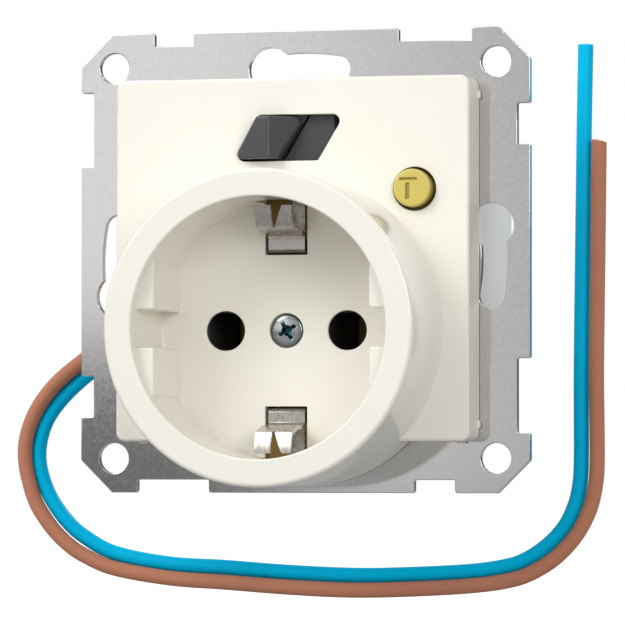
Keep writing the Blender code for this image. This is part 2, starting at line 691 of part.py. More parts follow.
def build_socket_base(resin):
    """Round face on the plate, and a block behind it that holds the contacts."""
    base = piece("socket_base", [extrusion(base_outline(), BASE_FRONT, BASE_SEAT)], resin)
    block = extrusion(base_opening(0.0), BASE_SEAT - OVERCUT, BASE_REAR)
    combine(base, "UNION", [block], "block")

    strip_back = strip_stations()[2] + GAP
    groove = rectangle(-EARTH_SLOT_WIDTH / 2, BASE_BOTTOM - OVERCUT,
                       EARTH_SLOT_WIDTH / 2, SOCKET_Z + BASE_RADIUS + OVERCUT)
    cuts = [extrusion(groove, BASE_FRONT - OVERCUT, strip_back)]
    half_width = CONTACT_GAP / 2 + CONTACT_THICKNESS + GAP
    half_height = CONTACT_WIDTH / 2 + GAP
    for side in (-1, 1):
        x = side * PIN_PITCH / 2
        chamber = rectangle(x - half_width, SOCKET_Z - half_height,
                            x + half_width, SOCKET_Z + half_height)
        cuts.append(extrusion(chamber, BASE_FRONT - OVERCUT, CHAMBER_END))
    combine(base, "DIFFERENCE", cuts, "chambers")

    pockets = []
    for side in (-1, 1):
        low = side * (EARTH_SLOT_INNER + EARTH_SLOT_WIDTH / 2)
        high = side * (RECESS_RADIUS - GAP)
        well = rectangle(-EARTH_WIDTH / 3, SOCKET_Z + low, EARTH_WIDTH / 3, SOCKET_Z + high)
        pockets.append(extrusion(well, strip_back - OVERCUT, strip_back + 2 * OVERCUT))
        tail = circle(CONTACT_TAIL_DIAMETER / 2 + GAP, TINY, (side * PIN_PITCH / 2, SOCKET_Z))
        pockets.append(extrusion(tail, CHAMBER_END - OVERCUT, BASE_REAR + OVERCUT))
    nut = circle(NUT_DIAMETER / 2 + GAP, SMALL, (0.0, SOCKET_Z))
    screw_end = FLOOR_FRONT + COUNTERBORE_DEPTH + SCREW_LENGTH + GAP
    pockets.append(extrusion(nut, strip_back - OVERCUT, screw_end + OVERCUT))
    slot = rectangle(-LINK_WIDTH / 2 - GAP, LINK_Z - LINK_THICKNESS / 2 - GAP,
                     LINK_WIDTH / 2 + GAP, LINK_Z + LINK_THICKNESS / 2 + GAP)
    pockets.append(extrusion(slot, strip_back - OVERCUT / 2, BASE_REAR + OVERCUT))
    combine(base, "DIFFERENCE", pockets, "pockets")
    return base


def build_live_contact(name, side, brass):
    """Tulip contact: two leaves around the pin, a back bridge and a soldering tail."""
    centre = side * PIN_PITCH / 2
    leaf = CONTACT_GAP / 2 + CONTACT_THICKNESS / 2
    front = BASE_FRONT + GAP
    back = CHAMBER_END - GAP - CONTACT_THICKNESS / 2
    path = [(centre - leaf, front), (centre - leaf, back), (centre + leaf, back), (centre + leaf, front)]
    half = CONTACT_WIDTH / 2
    clip = extrusion(ribbon(path, CONTACT_THICKNESS), SOCKET_Z - half, SOCKET_Z + half, "Z")
    contact = piece(name, [clip], brass)
    tail = circle(CONTACT_TAIL_DIAMETER / 2, TINY, (centre, SOCKET_Z))
    combine(contact, "UNION", [extrusion(tail, back, BOARD_BACK)], "tail")
    return contact


def earth_clip_path():
    """Side view of one clip: distance from the socket's centre and depth, from the tip inwards."""
    flat = strip_stations()[1]
    bend = [(1.0, 1.0), (0.5, 0.91), (0.17, 0.72), (0.03, 0.43), (0.0, 0.0)]
    path = [(CLIP_ROOT + CLIP_BULGE * out, FLOOR_FRONT - CLIP_HEIGHT * forward) for out, forward in bend]
    return path + [(CLIP_ROOT - CLIP_FOOT / 7, flat - EARTH_THICKNESS), (CLIP_ROOT - CLIP_FOOT, flat)]


def build_earth_strip(nickel):
    """One strip behind the recess floor, folded forward at both ends into split clips."""
    down = [(SOCKET_Z + u, y) for u, y in earth_clip_path()]
    up = [(SOCKET_Z - u, y) for u, y in reversed(earth_clip_path())]
    outline = [(y, z) for z, y in ribbon(down + up, EARTH_THICKNESS)]
    strip = piece("earth_strip", [extrusion(outline, -EARTH_WIDTH / 2, EARTH_WIDTH / 2, "X")], nickel)
    cuts = [extrusion(circle(SCREW_SHAFT_DIAMETER / 2 + GAP, SMALL, (0.0, SOCKET_Z)),
                      BASE_FRONT - OVERCUT, BASE_FRONT + EARTH_THICKNESS + OVERCUT)]
    tip = earth_clip_path()[0][0] + OVERCUT
    root = earth_clip_path()[3][0] - GAP
    for side in (-1, 1):
        slit = [(-EARTH_SLIT_HALF_WIDTH, SOCKET_Z + side * tip), (0.0, SOCKET_Z + side * root),
                (EARTH_SLIT_HALF_WIDTH, SOCKET_Z + side * tip)]
        cuts.append(extrusion(slit, earth_clip_path()[0][1] - OVERCUT, earth_clip_path()[3][1]))
    combine(strip, "DIFFERENCE", cuts, "slits")
    return strip


def build_earth_link(brass):
    """Flat bar from behind the earth strip to its terminal."""
    front = strip_stations()[2] + GAP
    back = TERMINAL_BACK - TERMINAL_LENGTH - GAP
    outline = rectangle(-LINK_WIDTH / 2, LINK_Z - LINK_THICKNESS / 2,
                        LINK_WIDTH / 2, LINK_Z + LINK_THICKNESS / 2)
    return piece("earth_link", [extrusion(outline, front, back)], brass)


def build_cover_screw(zinc, brass):
    """Central screw with a cross recess, and the insert that it bites into."""
    seat = FLOOR_FRONT + COUNTERBORE_DEPTH - GAP
    head = SCREW_HEAD_DIAMETER / 2
    crown = SCREW_HEAD_HEIGHT / 3
    profile = [(head - crown, seat - SCREW_HEAD_HEIGHT), (head, seat - SCREW_HEAD_HEIGHT + crown),
               (head, seat), (SCREW_SHAFT_DIAMETER / 2, seat),
               (SCREW_SHAFT_DIAMETER / 2, seat + SCREW_LENGTH)]
    screw = piece("cover_screw", [lathe(profile, MEDIUM, (0.0, SOCKET_Z))], zinc)
    arm = SCREW_RECESS_SPAN / 2
    half = SCREW_RECESS_WIDTH / 2
    cross = [(arm, -half), (arm, half), (half, half), (half, arm), (-half, arm), (-half, half),
             (-arm, half), (-arm, -half), (-half, -half), (-half, -arm), (half, -arm), (half, -half)]
    cross = [(u, SOCKET_Z + v) for u, v in cross]
    top = seat - SCREW_HEAD_HEIGHT
    combine(screw, "DIFFERENCE", [extrusion(cross, top - OVERCUT, top + SCREW_RECESS_DEPTH)], "recess")

    start = strip_stations()[2] + 2 * GAP
    nut = pipe(circle(NUT_DIAMETER / 2, SMALL, (0.0, SOCKET_Z)),
               circle(SCREW_SHAFT_DIAMETER / 2 + GAP, SMALL, (0.0, SOCKET_Z)),
               start, start + NUT_LENGTH)
    piece("cover_screw_nut", [nut], brass)
    return screw


# Toggle and its mechanism

def around_pivot(radius, angle):
    """Point in plan at an angle from straight forward, positive to the right."""
    return WINDOW_X + radius * math.sin(angle), TOGGLE_PIVOT_Y - radius * math.cos(angle)


def lever_left():
    """Left edge of the lever at mid height, in the photo's position."""
    return WINDOW_X - WINDOW_WIDTH / 2 + GAP


def build_toggle(charcoal, steel):
    """Lever, curved apron, hub and crank in one moulding, turning on an upright pin."""
    pivot = axis_empty("toggle_axis", (WINDOW_X, TOGGLE_PIVOT_Y, 0.0))
    hub_circle = circle(HUB_RADIUS, SMALL, (WINDOW_X, TOGGLE_PIVOT_Y))
    head_front = COVER_FRONT - LEVER_RIDGE_RISE - OVERCUT
    apron_inner = APRON_RADIUS - APRON_THICKNESS
    head = window_outline(GAP, LEVER_WIDTH, lever_left())
    toggle = piece("toggle_lever", [extrusion(head, head_front, COVER_BACK + 2 * OVERCUT)], charcoal, pivot)

    ridge = COVER_FRONT - LEVER_RIDGE_RISE
    far_left = lever_left() - WINDOW_HEIGHT / 2
    far_right = lever_left() + LEVER_WIDTH + WINDOW_HEIGHT / 2
    behind = COVER_BACK + 3 * OVERCUT
    roof = [(far_left, behind), (far_right, behind), (far_right, ridge + LEVER_RIGHT_DROP),
            (LEVER_RIDGE_X, ridge), (LEVER_RIDGE_X - LEVER_FACET_WIDTH, ridge + LEVER_FACET_DROP),
            (far_left, ridge + LEVER_LEFT_DROP)]
    combine(toggle, "INTERSECT", [extrusion(roof, APRON_BOTTOM, APRON_TOP, "Z")], "roof")

    steps = 18
    angles = [APRON_LEFT + (APRON_RIGHT - APRON_LEFT) * i / steps for i in range(steps + 1)]
    apron = [around_pivot(APRON_RADIUS, a) for a in angles]
    apron += [around_pivot(apron_inner, a) for a in reversed(angles)]
    combine(toggle, "UNION", [extrusion(apron, APRON_BOTTOM, APRON_TOP, "Z")], "apron")

    rest = -TOGGLE_TRAVEL / 2
    forward = Vector(around_pivot(1.0, rest)) - Vector(around_pivot(0.0, rest))
    across = Vector((-forward.y, forward.x))
    origin = Vector(around_pivot(0.0, rest))

    def bar(near, far, width):
        side = across * (width / 2)
        corners = [origin + forward * near - side, origin + forward * far - side,
                   origin + forward * far + side, origin + forward * near + side]
        return [tuple(corner) for corner in corners]

    stem = bar(HUB_RADIUS / 2, apron_inner + APRON_THICKNESS / 2, TOGGLE_STEM_WIDTH)
    combine(toggle, "UNION", [extrusion(stem, APRON_BOTTOM + OVERCUT, APRON_TOP - OVERCUT, "Z")], "stem")
    combine(toggle, "UNION", [extrusion(hub_circle, APRON_BOTTOM, APRON_TOP, "Z")], "hub")
    low = WINDOW_Z - CRANK_HEIGHT / 2
    high = WINDOW_Z + CRANK_HEIGHT / 2
    crank = bar(-HUB_RADIUS / 2, -CRANK_RADIUS, CRANK_ARM_WIDTH)
    combine(toggle, "UNION", [extrusion(crank, low, high, "Z")], "crank")
    peg = circle(CRANK_PEG_DIAMETER / 2, TINY, tuple(origin - forward * CRANK_RADIUS))
    combine(toggle, "UNION", [extrusion(peg, low - GAP, high + GAP, "Z")], "peg")
    bore = circle(TOGGLE_PIN_DIAMETER / 2 + GAP, SMALL, (WINDOW_X, TOGGLE_PIVOT_Y))
    combine(toggle, "DIFFERENCE", [extrusion(bore, APRON_BOTTOM - OVERCUT, APRON_TOP + OVERCUT, "Z")], "bore")

    shaft = circle(TOGGLE_PIN_DIAMETER / 2, SMALL, (WINDOW_X, TOGGLE_PIVOT_Y))
    end = FRAME_THICKNESS + 2 * GAP
    piece("toggle_pin", [extrusion(shaft, APRON_BOTTOM - end, APRON_TOP + end, "Z")], steel)
    return toggle


def frame_levels():
    """Middle of the lower and the upper leg of the mechanism's frame."""
    return APRON_BOTTOM - GAP - FRAME_THICKNESS / 2, APRON_TOP + GAP + FRAME_THICKNESS / 2


def plunger_place():
    """Plan position of the release plunger."""
    return RELAY_LEFT + RELAY_WIDTH / 2, BOARD_BACK + GAP + RELAY_DEPTH / 2


def build_mechanism_frame(steel):
    """Bracket folded like a C around the toggle's hub and the contact carrier."""
    low, high = frame_levels()
    back = FRAME_FRONT + FRAME_DEPTH - FRAME_THICKNESS / 2
    path = [(FRAME_FRONT, low), (back, low), (back, high), (FRAME_FRONT, high)]
    left = WINDOW_X - FRAME_HALF_WIDTH
    right = WINDOW_X + FRAME_HALF_WIDTH
    frame = piece("mechanism_frame", [extrusion(ribbon(path, FRAME_THICKNESS), left, right, "X")], steel)
    hole = circle(TOGGLE_PIN_DIAMETER / 2 + GAP, SMALL, (WINDOW_X, TOGGLE_PIVOT_Y))
    plunger = circle(PLUNGER_DIAMETER / 2 + GAP, TINY, plunger_place())
    cuts = [extrusion(hole, low - OVERCUT, high + OVERCUT, "Z"),
            extrusion(plunger, low - OVERCUT, low + OVERCUT, "Z")]
    combine(frame, "DIFFERENCE", cuts, "holes")
    return frame


def peg_place():
    """Plan position of the crank's peg in the photo's position."""
    return around_pivot(-CRANK_RADIUS, -TOGGLE_TRAVEL / 2)


def blade_levels():
    """Heights of the line and the neutral contact."""
    return WINDOW_Z - BLADE_HEIGHT * 1.2, WINDOW_Z + BLADE_HEIGHT * 0.8


def carrier_travel():
    """How far the crank moves the carrier to the left over the toggle's whole travel."""
    return CRANK_RADIUS * TOGGLE_TRAVEL


def build_contact_carrier(resin, silver):
    """Carrier whose fork holds the crank's peg, with two contact blades at its left end."""
    slide = axis_empty("carrier_axis", (CARRIER_LEFT, TOGGLE_PIVOT_Y, WINDOW_Z))
    peg = peg_place()
    inner = CRANK_PEG_DIAMETER / 2 + GAP
    prong = inner + CRANK_ARM_WIDTH
    front = peg[1] - CRANK_PEG_DIAMETER / 2
    body_front = TOGGLE_PIVOT_Y + CRANK_RADIUS + inner
    body_back = body_front + CARRIER_THICKNESS
    outline = [(CARRIER_LEFT, body_front), (peg[0] - prong, body_front), (peg[0] - prong, front),
               (peg[0] - inner, front), (peg[0] - inner, body_front), (peg[0] + inner, body_front),
               (peg[0] + inner, front), (peg[0] + prong, front), (peg[0] + prong, body_front),
               (CARRIER_RIGHT, body_front), (CARRIER_RIGHT, body_back), (CARRIER_LEFT, body_back)]
    carrier = piece("contact_carrier", [extrusion(outline, APRON_BOTTOM, APRON_TOP, "Z")], resin, slide)
    middle = (body_front + body_back) / 2
    depth = BLADE_THICKNESS / 2 + GAP
    sockets = []
    for level in blade_levels():
        half = BLADE_HEIGHT / 2
        outline = rectangle(middle - depth, level - half - GAP, middle + depth, level + half + GAP)
        sockets.append(extrusion(outline, CARRIER_LEFT - OVERCUT, CARRIER_LEFT + BLADE_LENGTH / 2, "X"))
    combine(carrier, "DIFFERENCE", sockets, "blade_sockets")

    for name, level in zip(("moving_contact_line", "moving_contact_neutral"), blade_levels()):
        half = BLADE_HEIGHT / 2
        outline = rectangle(middle - depth + GAP, level - half, middle + depth - GAP, level + half)
        root = CARRIER_LEFT + BLADE_LENGTH / 2 - GAP
        piece(name, [extrusion(outline, root - BLADE_LENGTH, root, "X")], silver, slide)
    for name, level in zip(("fixed_contact_line", "fixed_contact_neutral"), blade_levels()):
        tip = CARRIER_LEFT - BLADE_LENGTH / 2 - GAP
        face = tip - carrier_travel() - FIXED_CONTACT_THICKNESS / 2 - GAP
        half = BLADE_HEIGHT / 2
        path = [(face, body_front), (face, body_back + FIXED_CONTACT_TAIL)]
        piece(name, [extrusion(ribbon(path, FIXED_CONTACT_THICKNESS), level - half, level + half, "Z")], silver)
    return carrier


# Test button

def build_test_button(yellow, steel, brass):
    """Round button with a flange behind the cover, a stem, its spring and the leaf it closes."""
    slide = axis_empty("test_axis", (BUTTON_X, COVER_FRONT, BUTTON_Z))
    centre = (BUTTON_X, BUTTON_Z)
    cap = BUTTON_DIAMETER / 2
    stem = BUTTON_STEM_DIAMETER / 2
    edge = cap / 8
    front = COVER_FRONT - BUTTON_RISE
    flange_front = COVER_BACK + BUTTON_SLEEVE_DEPTH + GAP
    flange_back = flange_front + BUTTON_FLANGE_THICKNESS
    flange = cap + BUTTON_FLANGE_WIDTH
    stem_end = HOUSING_INNER_FRONT + GAP
    profile = [(cap - edge, front), (cap - edge * 0.3, front + edge * 0.3), (cap, front + edge),
               (cap, flange_front), (flange, flange_front), (flange, flange_back),
               (stem, flange_back), (stem, stem_end)]
    button = piece("test_button", [lathe(profile, MEDIUM, centre)], yellow, slide)

    radius = (stem + GAP + flange) / 2
    half = SPRING_WIRE_DIAMETER / 2
    start = flange_back + GAP + half
    end = BASE_SEAT - half
    per_turn = 12
    count = round(SPRING_TURNS * per_turn)
    coil = []
    for i in range(count + 1):
        turn = 2 * math.pi * i / per_turn
        coil.append((BUTTON_X + radius * math.cos(turn), start + (end - start) * i / count,
                     BUTTON_Z + radius * math.sin(turn)))
    piece("test_spring", [wire(coil, SPRING_WIRE_DIAMETER, 6)], steel)

    leaf_y = stem_end + BUTTON_TRAVEL + GAP + CONTACT_THICKNESS / 2
    foot = BUTTON_Z - 4 * BUTTON_STEM_DIAMETER
    path = [(leaf_y, BUTTON_Z + BUTTON_STEM_DIAMETER), (leaf_y, foot), (leaf_y - GAP, foot - GAP),
            (HOUSING_INNER_FRONT + GAP + CONTACT_THICKNESS / 2, foot - BUTTON_STEM_DIAMETER),
            (HOUSING_INNER_FRONT + GAP + CONTACT_THICKNESS / 2, foot - 2 * BUTTON_STEM_DIAMETER)]
    leaf = extrusion(ribbon(path, CONTACT_THICKNESS), BUTTON_X - stem, BUTTON_X + stem, "X")
    piece("test_contact", [leaf], brass)
    return button


# Rear housing

def build_rcd_housing(grey):
    """Box that fits a round wall box, with a tower around the toggle and bosses for the screws."""
    outer = square_in_circle(HOUSING_HALF, HOUSING_RADIUS)
    housing = piece("rcd_housing", [extrusion(outer, HOUSING_FRONT, HOUSING_DEPTH)], grey)
    tower = extrusion(tower_outline(TOWER_WALL), COVER_BACK + GAP, HOUSING_INNER_FRONT - OVERCUT / 2)
    combine(housing, "UNION", [tower], "tower")
    inner = square_in_circle(HOUSING_HALF - HOUSING_WALL, HOUSING_RADIUS - HOUSING_WALL)
    inside = extrusion(inner, HOUSING_INNER_FRONT, HOUSING_DEPTH + OVERCUT)
    combine(housing, "DIFFERENCE", [inside], "inside")
    bosses = []
    for centre in housing_screw_places():
        bosses.append(extrusion(circle(HOUSING_BOSS_RADIUS, SMALL, centre),
                                HOUSING_INNER_FRONT - OVERCUT / 2, HOUSING_DEPTH))
    combine(housing, "UNION", bosses, "bosses")

    front = HOUSING_FRONT - OVERCUT
    back = HOUSING_INNER_FRONT + OVERCUT
    cuts = [extrusion(base_opening(GAP), front, back),
            extrusion(tower_outline(0.0), COVER_BACK - OVERCUT, back),
            extrusion(circle(BUTTON_STEM_DIAMETER / 2 + GAP, TINY, (BUTTON_X, BUTTON_Z)), front, back)]
    for centre in housing_screw_places():
        hole = circle(HOUSING_SCREW_DIAMETER / 2 + GAP, TINY, centre)
        cuts.append(extrusion(hole, front, HOUSING_DEPTH + OVERCUT))
    for y, route in ((BROWN_Y, BROWN_ROUTE), (BLUE_Y, BLUE_ROUTE)):
        hole = circle(LEAD_DIAMETER / 2 + GAP, SMALL, (y, route[0][1] * MM))
        cuts.append(extrusion(hole, -HOUSING_HALF - OVERCUT, -HOUSING_HALF + 3 * HOUSING_WALL, "X"))
    combine(housing, "DIFFERENCE", cuts, "openings")
    return housing


def terminal_places():
    """Name and centre of each terminal, seen from the front."""
    return [("line", -TERMINAL_PITCH), ("earth", 0.0), ("neutral", TERMINAL_PITCH)]


def release_level():
    """Height of the release buttons, under the roof of the terminals."""
    return TERMINAL_TOP - TERMINAL_WALL - GAP - RELEASE_HEIGHT / 2


def wire_level():
    """Height of the wire holes, at the bottom of the terminals."""
    return TERMINAL_BOTTOM + TERMINAL_WALL + WIRE_HOLE_DIAMETER / 2


def build_rear_cover(grey, steel):
    """Rear plate with sunk screws, three wire holes and three release windows."""
    outer = square_in_circle(HOUSING_HALF, HOUSING_RADIUS)
    cover = piece("rear_cover", [extrusion(outer, REAR_COVER_FRONT, REAR_COVER_BACK)], grey)
    front = REAR_COVER_FRONT - OVERCUT
    back = REAR_COVER_BACK + OVERCUT
    sink = REAR_COVER_BACK - SCREW_SINK
    cuts = []
    for centre in housing_screw_places():
        hole = HOUSING_SCREW_DIAMETER / 2 + GAP
        head = HOUSING_SCREW_HEAD / 2 + GAP
        cuts.append(lathe([(hole, front), (hole, sink), (head, sink), (head, back)], SMALL, centre))
    for _, x in terminal_places():
        half_width = RELEASE_WIDTH / 2 + GAP
        half_height = RELEASE_HEIGHT / 2 + GAP
        z = release_level()
        window = rectangle(x - half_width, z - half_height, x + half_width, z + half_height)
        cuts.append(extrusion(window, front, back))
        radius = WIRE_HOLE_DIAMETER / 2
        funnel = [(radius, front), (radius, sink), (radius + SCREW_SINK / 2, REAR_COVER_BACK),
                  (radius + SCREW_SINK / 2, back)]
        cuts.append(lathe(funnel, SMALL, (x, wire_level())))
    combine(cover, "DIFFERENCE", cuts, "openings")

    for number, centre in enumerate(housing_screw_places(), 1):
        shaft = HOUSING_SCREW_DIAMETER / 2
        head = HOUSING_SCREW_HEAD / 2
        seat = sink + GAP
        crown = seat + SCREW_HEAD_THICKNESS
        profile = [(shaft, PLATE_FRONT + GAP), (shaft, seat), (head, seat),
                   (head, crown - shaft / 2), (head - shaft / 2, crown)]
        piece(f"housing_screw_{number}", [lathe(profile, SMALL, centre)], steel)
    return cover


def build_terminals(brass, steel, orange):
    """Wire cages, their clamping springs and the buttons that release them."""
    front = TERMINAL_BACK - TERMINAL_LENGTH
    for name, x in terminal_places():
        half = TERMINAL_WIDTH / 2
        outer = rectangle(x - half, TERMINAL_BOTTOM, x + half, TERMINAL_TOP)
        wall = TERMINAL_WALL
        inner = rectangle(x - half + wall, TERMINAL_BOTTOM + wall, x + half - wall, TERMINAL_TOP - wall)
        piece("terminal_" + name, [pipe(outer, inner, front, TERMINAL_BACK)], brass)

        low = TERMINAL_BOTTOM + wall + GAP + wall / 4
        path = [(TERMINAL_BACK - GAP, low), (front + wall, low), (front + wall / 2, low + wall),
                (front + wall, low + 2 * wall), (TERMINAL_BACK - 3 * wall, low + 3 * wall)]
        spring = extrusion(ribbon(path, wall / 2), x - half + wall + GAP, x + half - wall - GAP, "X")
        piece("clamp_spring_" + name, [spring], steel)

        slide = axis_empty("release_axis_" + name, (x, REAR_COVER_BACK, release_level()))
        inner_end = TERMINAL_BACK - GAP
        flange_back = REAR_COVER_FRONT - GAP
        z = release_level()
        half_width = RELEASE_WIDTH / 2
        half_height = RELEASE_HEIGHT / 2
        shank = rectangle(x - half_width, z - half_height, x + half_width, z + half_height)
        rise = REAR_COVER_BACK + RELEASE_RISE
        button = piece("release_button_" + name, [extrusion(shank, inner_end, rise)], orange, slide)
        grow = TERMINAL_WALL
        flange = rectangle(x - half_width - grow, z - half_height - grow,
                           x + half_width + grow, z + half_height + grow)
        combine(button, "UNION", [extrusion(flange, flange_back - RELEASE_FLANGE, flange_back)], "flange")


# Electronics

def build_board(green):
    """Circuit board behind the base, with holes for the contact tails."""
    outline = rectangle(-BOARD_HALF_WIDTH, BOARD_BOTTOM, BOARD_HALF_WIDTH, BOARD_TOP)
    board = piece("circuit_board", [extrusion(outline, BOARD_FRONT, BOARD_BACK)], green)
    cuts = []
    for side in (-1, 1):
        hole = circle(CONTACT_TAIL_DIAMETER / 2 + GAP, TINY, (side * PIN_PITCH / 2, SOCKET_Z))
        cuts.append(extrusion(hole, BOARD_FRONT - OVERCUT, BOARD_BACK + OVERCUT))
    combine(board, "DIFFERENCE", cuts, "holes")
    return board


def build_transformer(black, copper):
    """Ring core with a winding over part of it, and two conductors through its bore."""
    centre = (CORE_X, CORE_Z)
    front = CORE_FRONT
    back = CORE_BACK
    soft = (CORE_RADIUS - CORE_BORE) / 8
    profile = [(CORE_BORE + soft, front), (CORE_RADIUS - soft, front), (CORE_RADIUS, front + soft),
               (CORE_RADIUS, back - soft), (CORE_RADIUS - soft, back), (CORE_BORE + soft, back),
               (CORE_BORE, back - soft), (CORE_BORE, front + soft)]
    piece("transformer_core", [lathe(profile, MEDIUM, centre, closed=True)], black)

    near = GAP
    far = GAP + WINDING_THICKNESS
    steps = 14
    rings = []
    for i in range(steps + 1):
        turn = math.pi - WINDING_SPAN / 2 + WINDING_SPAN * i / steps
        loop = [(CORE_BORE - far, front - far), (CORE_RADIUS + far, front - far),
                (CORE_RADIUS + far, back + far), (CORE_BORE - far, back + far)]
        hole = [(CORE_BORE - near, front - near), (CORE_RADIUS + near, front - near),
                (CORE_RADIUS + near, back + near), (CORE_BORE - near, back + near)]
        rings.append([(CORE_X + r * math.cos(turn), y, CORE_Z + r * math.sin(turn))
                      for r, y in loop + hole])
    winding_mesh("transformer_winding", rings, copper)

    reach = back + far + CONDUCTOR_DIAMETER
    front_end = BOARD_BACK + GAP
    half = CONDUCTOR_SPACING / 2
    top = TERMINAL_TOP + GAP + CONDUCTOR_DIAMETER / 2
    terminal_y = TERMINAL_BACK - TERMINAL_LENGTH / 2
    routes = {"line_conductor": (CORE_X - half, -TERMINAL_PITCH, 0.0),
              "neutral_conductor": (CORE_X + half, TERMINAL_PITCH, 2 * CONDUCTOR_DIAMETER)}
    for name, (x, target, extra) in routes.items():
        turn_y = reach + extra
        path = [(x, front_end, CORE_Z), (x, turn_y - CONDUCTOR_DIAMETER, CORE_Z),
                (x + (target - x) * 0.1, turn_y, CORE_Z - CONDUCTOR_DIAMETER),
                (target, turn_y, top + CONDUCTOR_DIAMETER), (target, terminal_y, top)]
        piece(name, [wire(path, CONDUCTOR_DIAMETER, 8)], copper)


def winding_mesh(name, rings, material):
    """Sleeve around part of the core: each ring lists an outer and an inner loop of four points."""
    work = bmesh.new()
    stations = [[work.verts.new(point) for point in ring] for ring in rings]
    for near, far in zip(stations, stations[1:]):
        for base in (0, 4):
            for i in range(4):
                j = (i + 1) % 4
                work.faces.new((near[base + i], near[base + j], far[base + j], far[base + i]))
    for end in (stations[0], stations[-1]):
        for i in range(4):
            j = (i + 1) % 4
            work.faces.new((end[i], end[j], end[4 + j], end[4 + i]))
    bmesh.ops.recalc_face_normals(work, faces=work.faces)
    mesh = bpy.data.meshes.new(name)
    work.to_mesh(mesh)
    work.free()
    smooth_round_faces(mesh)
    mesh.materials.append(material)
    thing = bpy.data.objects.new(name, mesh)
    bpy.context.scene.collection.objects.link(thing)
    return thing


def build_relay(black, steel):
    """Release relay under the mechanism's frame, with its plunger pointing up."""
    low, _ = frame_levels()
    top = low - FRAME_THICKNESS / 2 - GAP
    bottom = top - RELAY_HEIGHT
    front = BOARD_BACK + GAP
    outline = rectangle(RELAY_LEFT, front, RELAY_LEFT + RELAY_WIDTH, front + RELAY_DEPTH)
    relay = piece("trip_relay", [extrusion(outline, bottom, top, "Z")], black)
    hole = circle(PLUNGER_DIAMETER / 2 + GAP, TINY, plunger_place())
    combine(relay, "DIFFERENCE", [extrusion(hole, bottom + RELAY_HEIGHT / 2, top + OVERCUT, "Z")], "well")
    slide = axis_empty("plunger_axis", (*plunger_place(), top))
    rod = circle(PLUNGER_DIAMETER / 2, TINY, plunger_place())
    reach = APRON_BOTTOM - GAP - PLUNGER_TRAVEL
    start = bottom + RELAY_HEIGHT / 2 + GAP
    piece("trip_plunger", [extrusion(rod, start, reach, "Z")], steel, slide)


def build_small_parts(ceramic, blue):
    """Test resistor and varistor on the board."""
    y = BOARD_BACK + GAP + RESISTOR_DIAMETER / 2
    left = BOARD_HALF_WIDTH - OVERCUT - RESISTOR_LENGTH
    z = CORE_Z + CORE_RADIUS / 2
    lead = RESISTOR_DIAMETER / 5
    body = circle(RESISTOR_DIAMETER / 2, SMALL, (y, z))
    resistor = piece("test_resistor", [extrusion(body, left - lead, left + RESISTOR_LENGTH - lead, "X")], ceramic)
    ends = circle(lead, TINY, (y, z))
    combine(resistor, "UNION", [extrusion(ends, left - 3 * lead, left + RESISTOR_LENGTH + lead, "X")], "leads")

    front = BOARD_BACK + GAP
    back = front + VARISTOR_THICKNESS
    soft = VARISTOR_THICKNESS / 4
    centre = (BOARD_HALF_WIDTH - VARISTOR_RADIUS - OVERCUT, SOCKET_Z - VARISTOR_RADIUS / 2)
    profile = [(VARISTOR_RADIUS - soft, front), (VARISTOR_RADIUS, front + soft),
               (VARISTOR_RADIUS, back - soft), (VARISTOR_RADIUS - soft, back)]
    piece("varistor", [lathe(profile, SMALL, centre)], blue)


# Leads

def smooth_route(route, y):
    """Points at an even step along a Catmull-Rom curve through the chosen points."""
    knots = [Vector((x * MM, y, z * MM)) for x, z in route]
    padded = [2 * knots[0] - knots[1]] + knots + [2 * knots[-1] - knots[-2]]
    fine = []
    for a, b, c, d in zip(padded, padded[1:], padded[2:], padded[3:]):
        for i in range(10):
            t = i / 10
            fine.append(0.5 * (2 * b + (c - a) * t + (2 * a - 5 * b + 4 * c - d) * t ** 2
                               + (3 * b - a - 3 * c + d) * t ** 3))
    fine.append(knots[-1])
    total = sum((q - p).length for p, q in zip(fine, fine[1:]))
    count = round(total / LEAD_STEP)
    points = [fine[0]]
    travelled = 0.0
    for p, q in zip(fine, fine[1:]):
        span = (q - p).length
        while len(points) < count and travelled + span >= total * len(points) / count:
            share = (total * len(points) / count - travelled) / span
            points.append(p.lerp(q, share))
        travelled += span
    points.append(fine[-1])
    return points


def build_lead(name, route, y, material):
    """Single-core lead as a round tube on one smooth route."""
    curve = bpy.data.curves.new(name, "CURVE")
    curve.dimensions = "3D"
    curve.bevel_depth = LEAD_DIAMETER / 2
    curve.bevel_resolution = 2
    curve.use_fill_caps = True
    points = smooth_route(route, y)
    spline = curve.splines.new("POLY")
    spline.points.add(len(points) - 1)
    for target, point in zip(spline.points, points):
        target.co = (*point, 1.0)
    curve.materials.append(material)
    lead = bpy.data.objects.new(name, curve)
    bpy.context.scene.collection.objects.link(lead)
    return lead


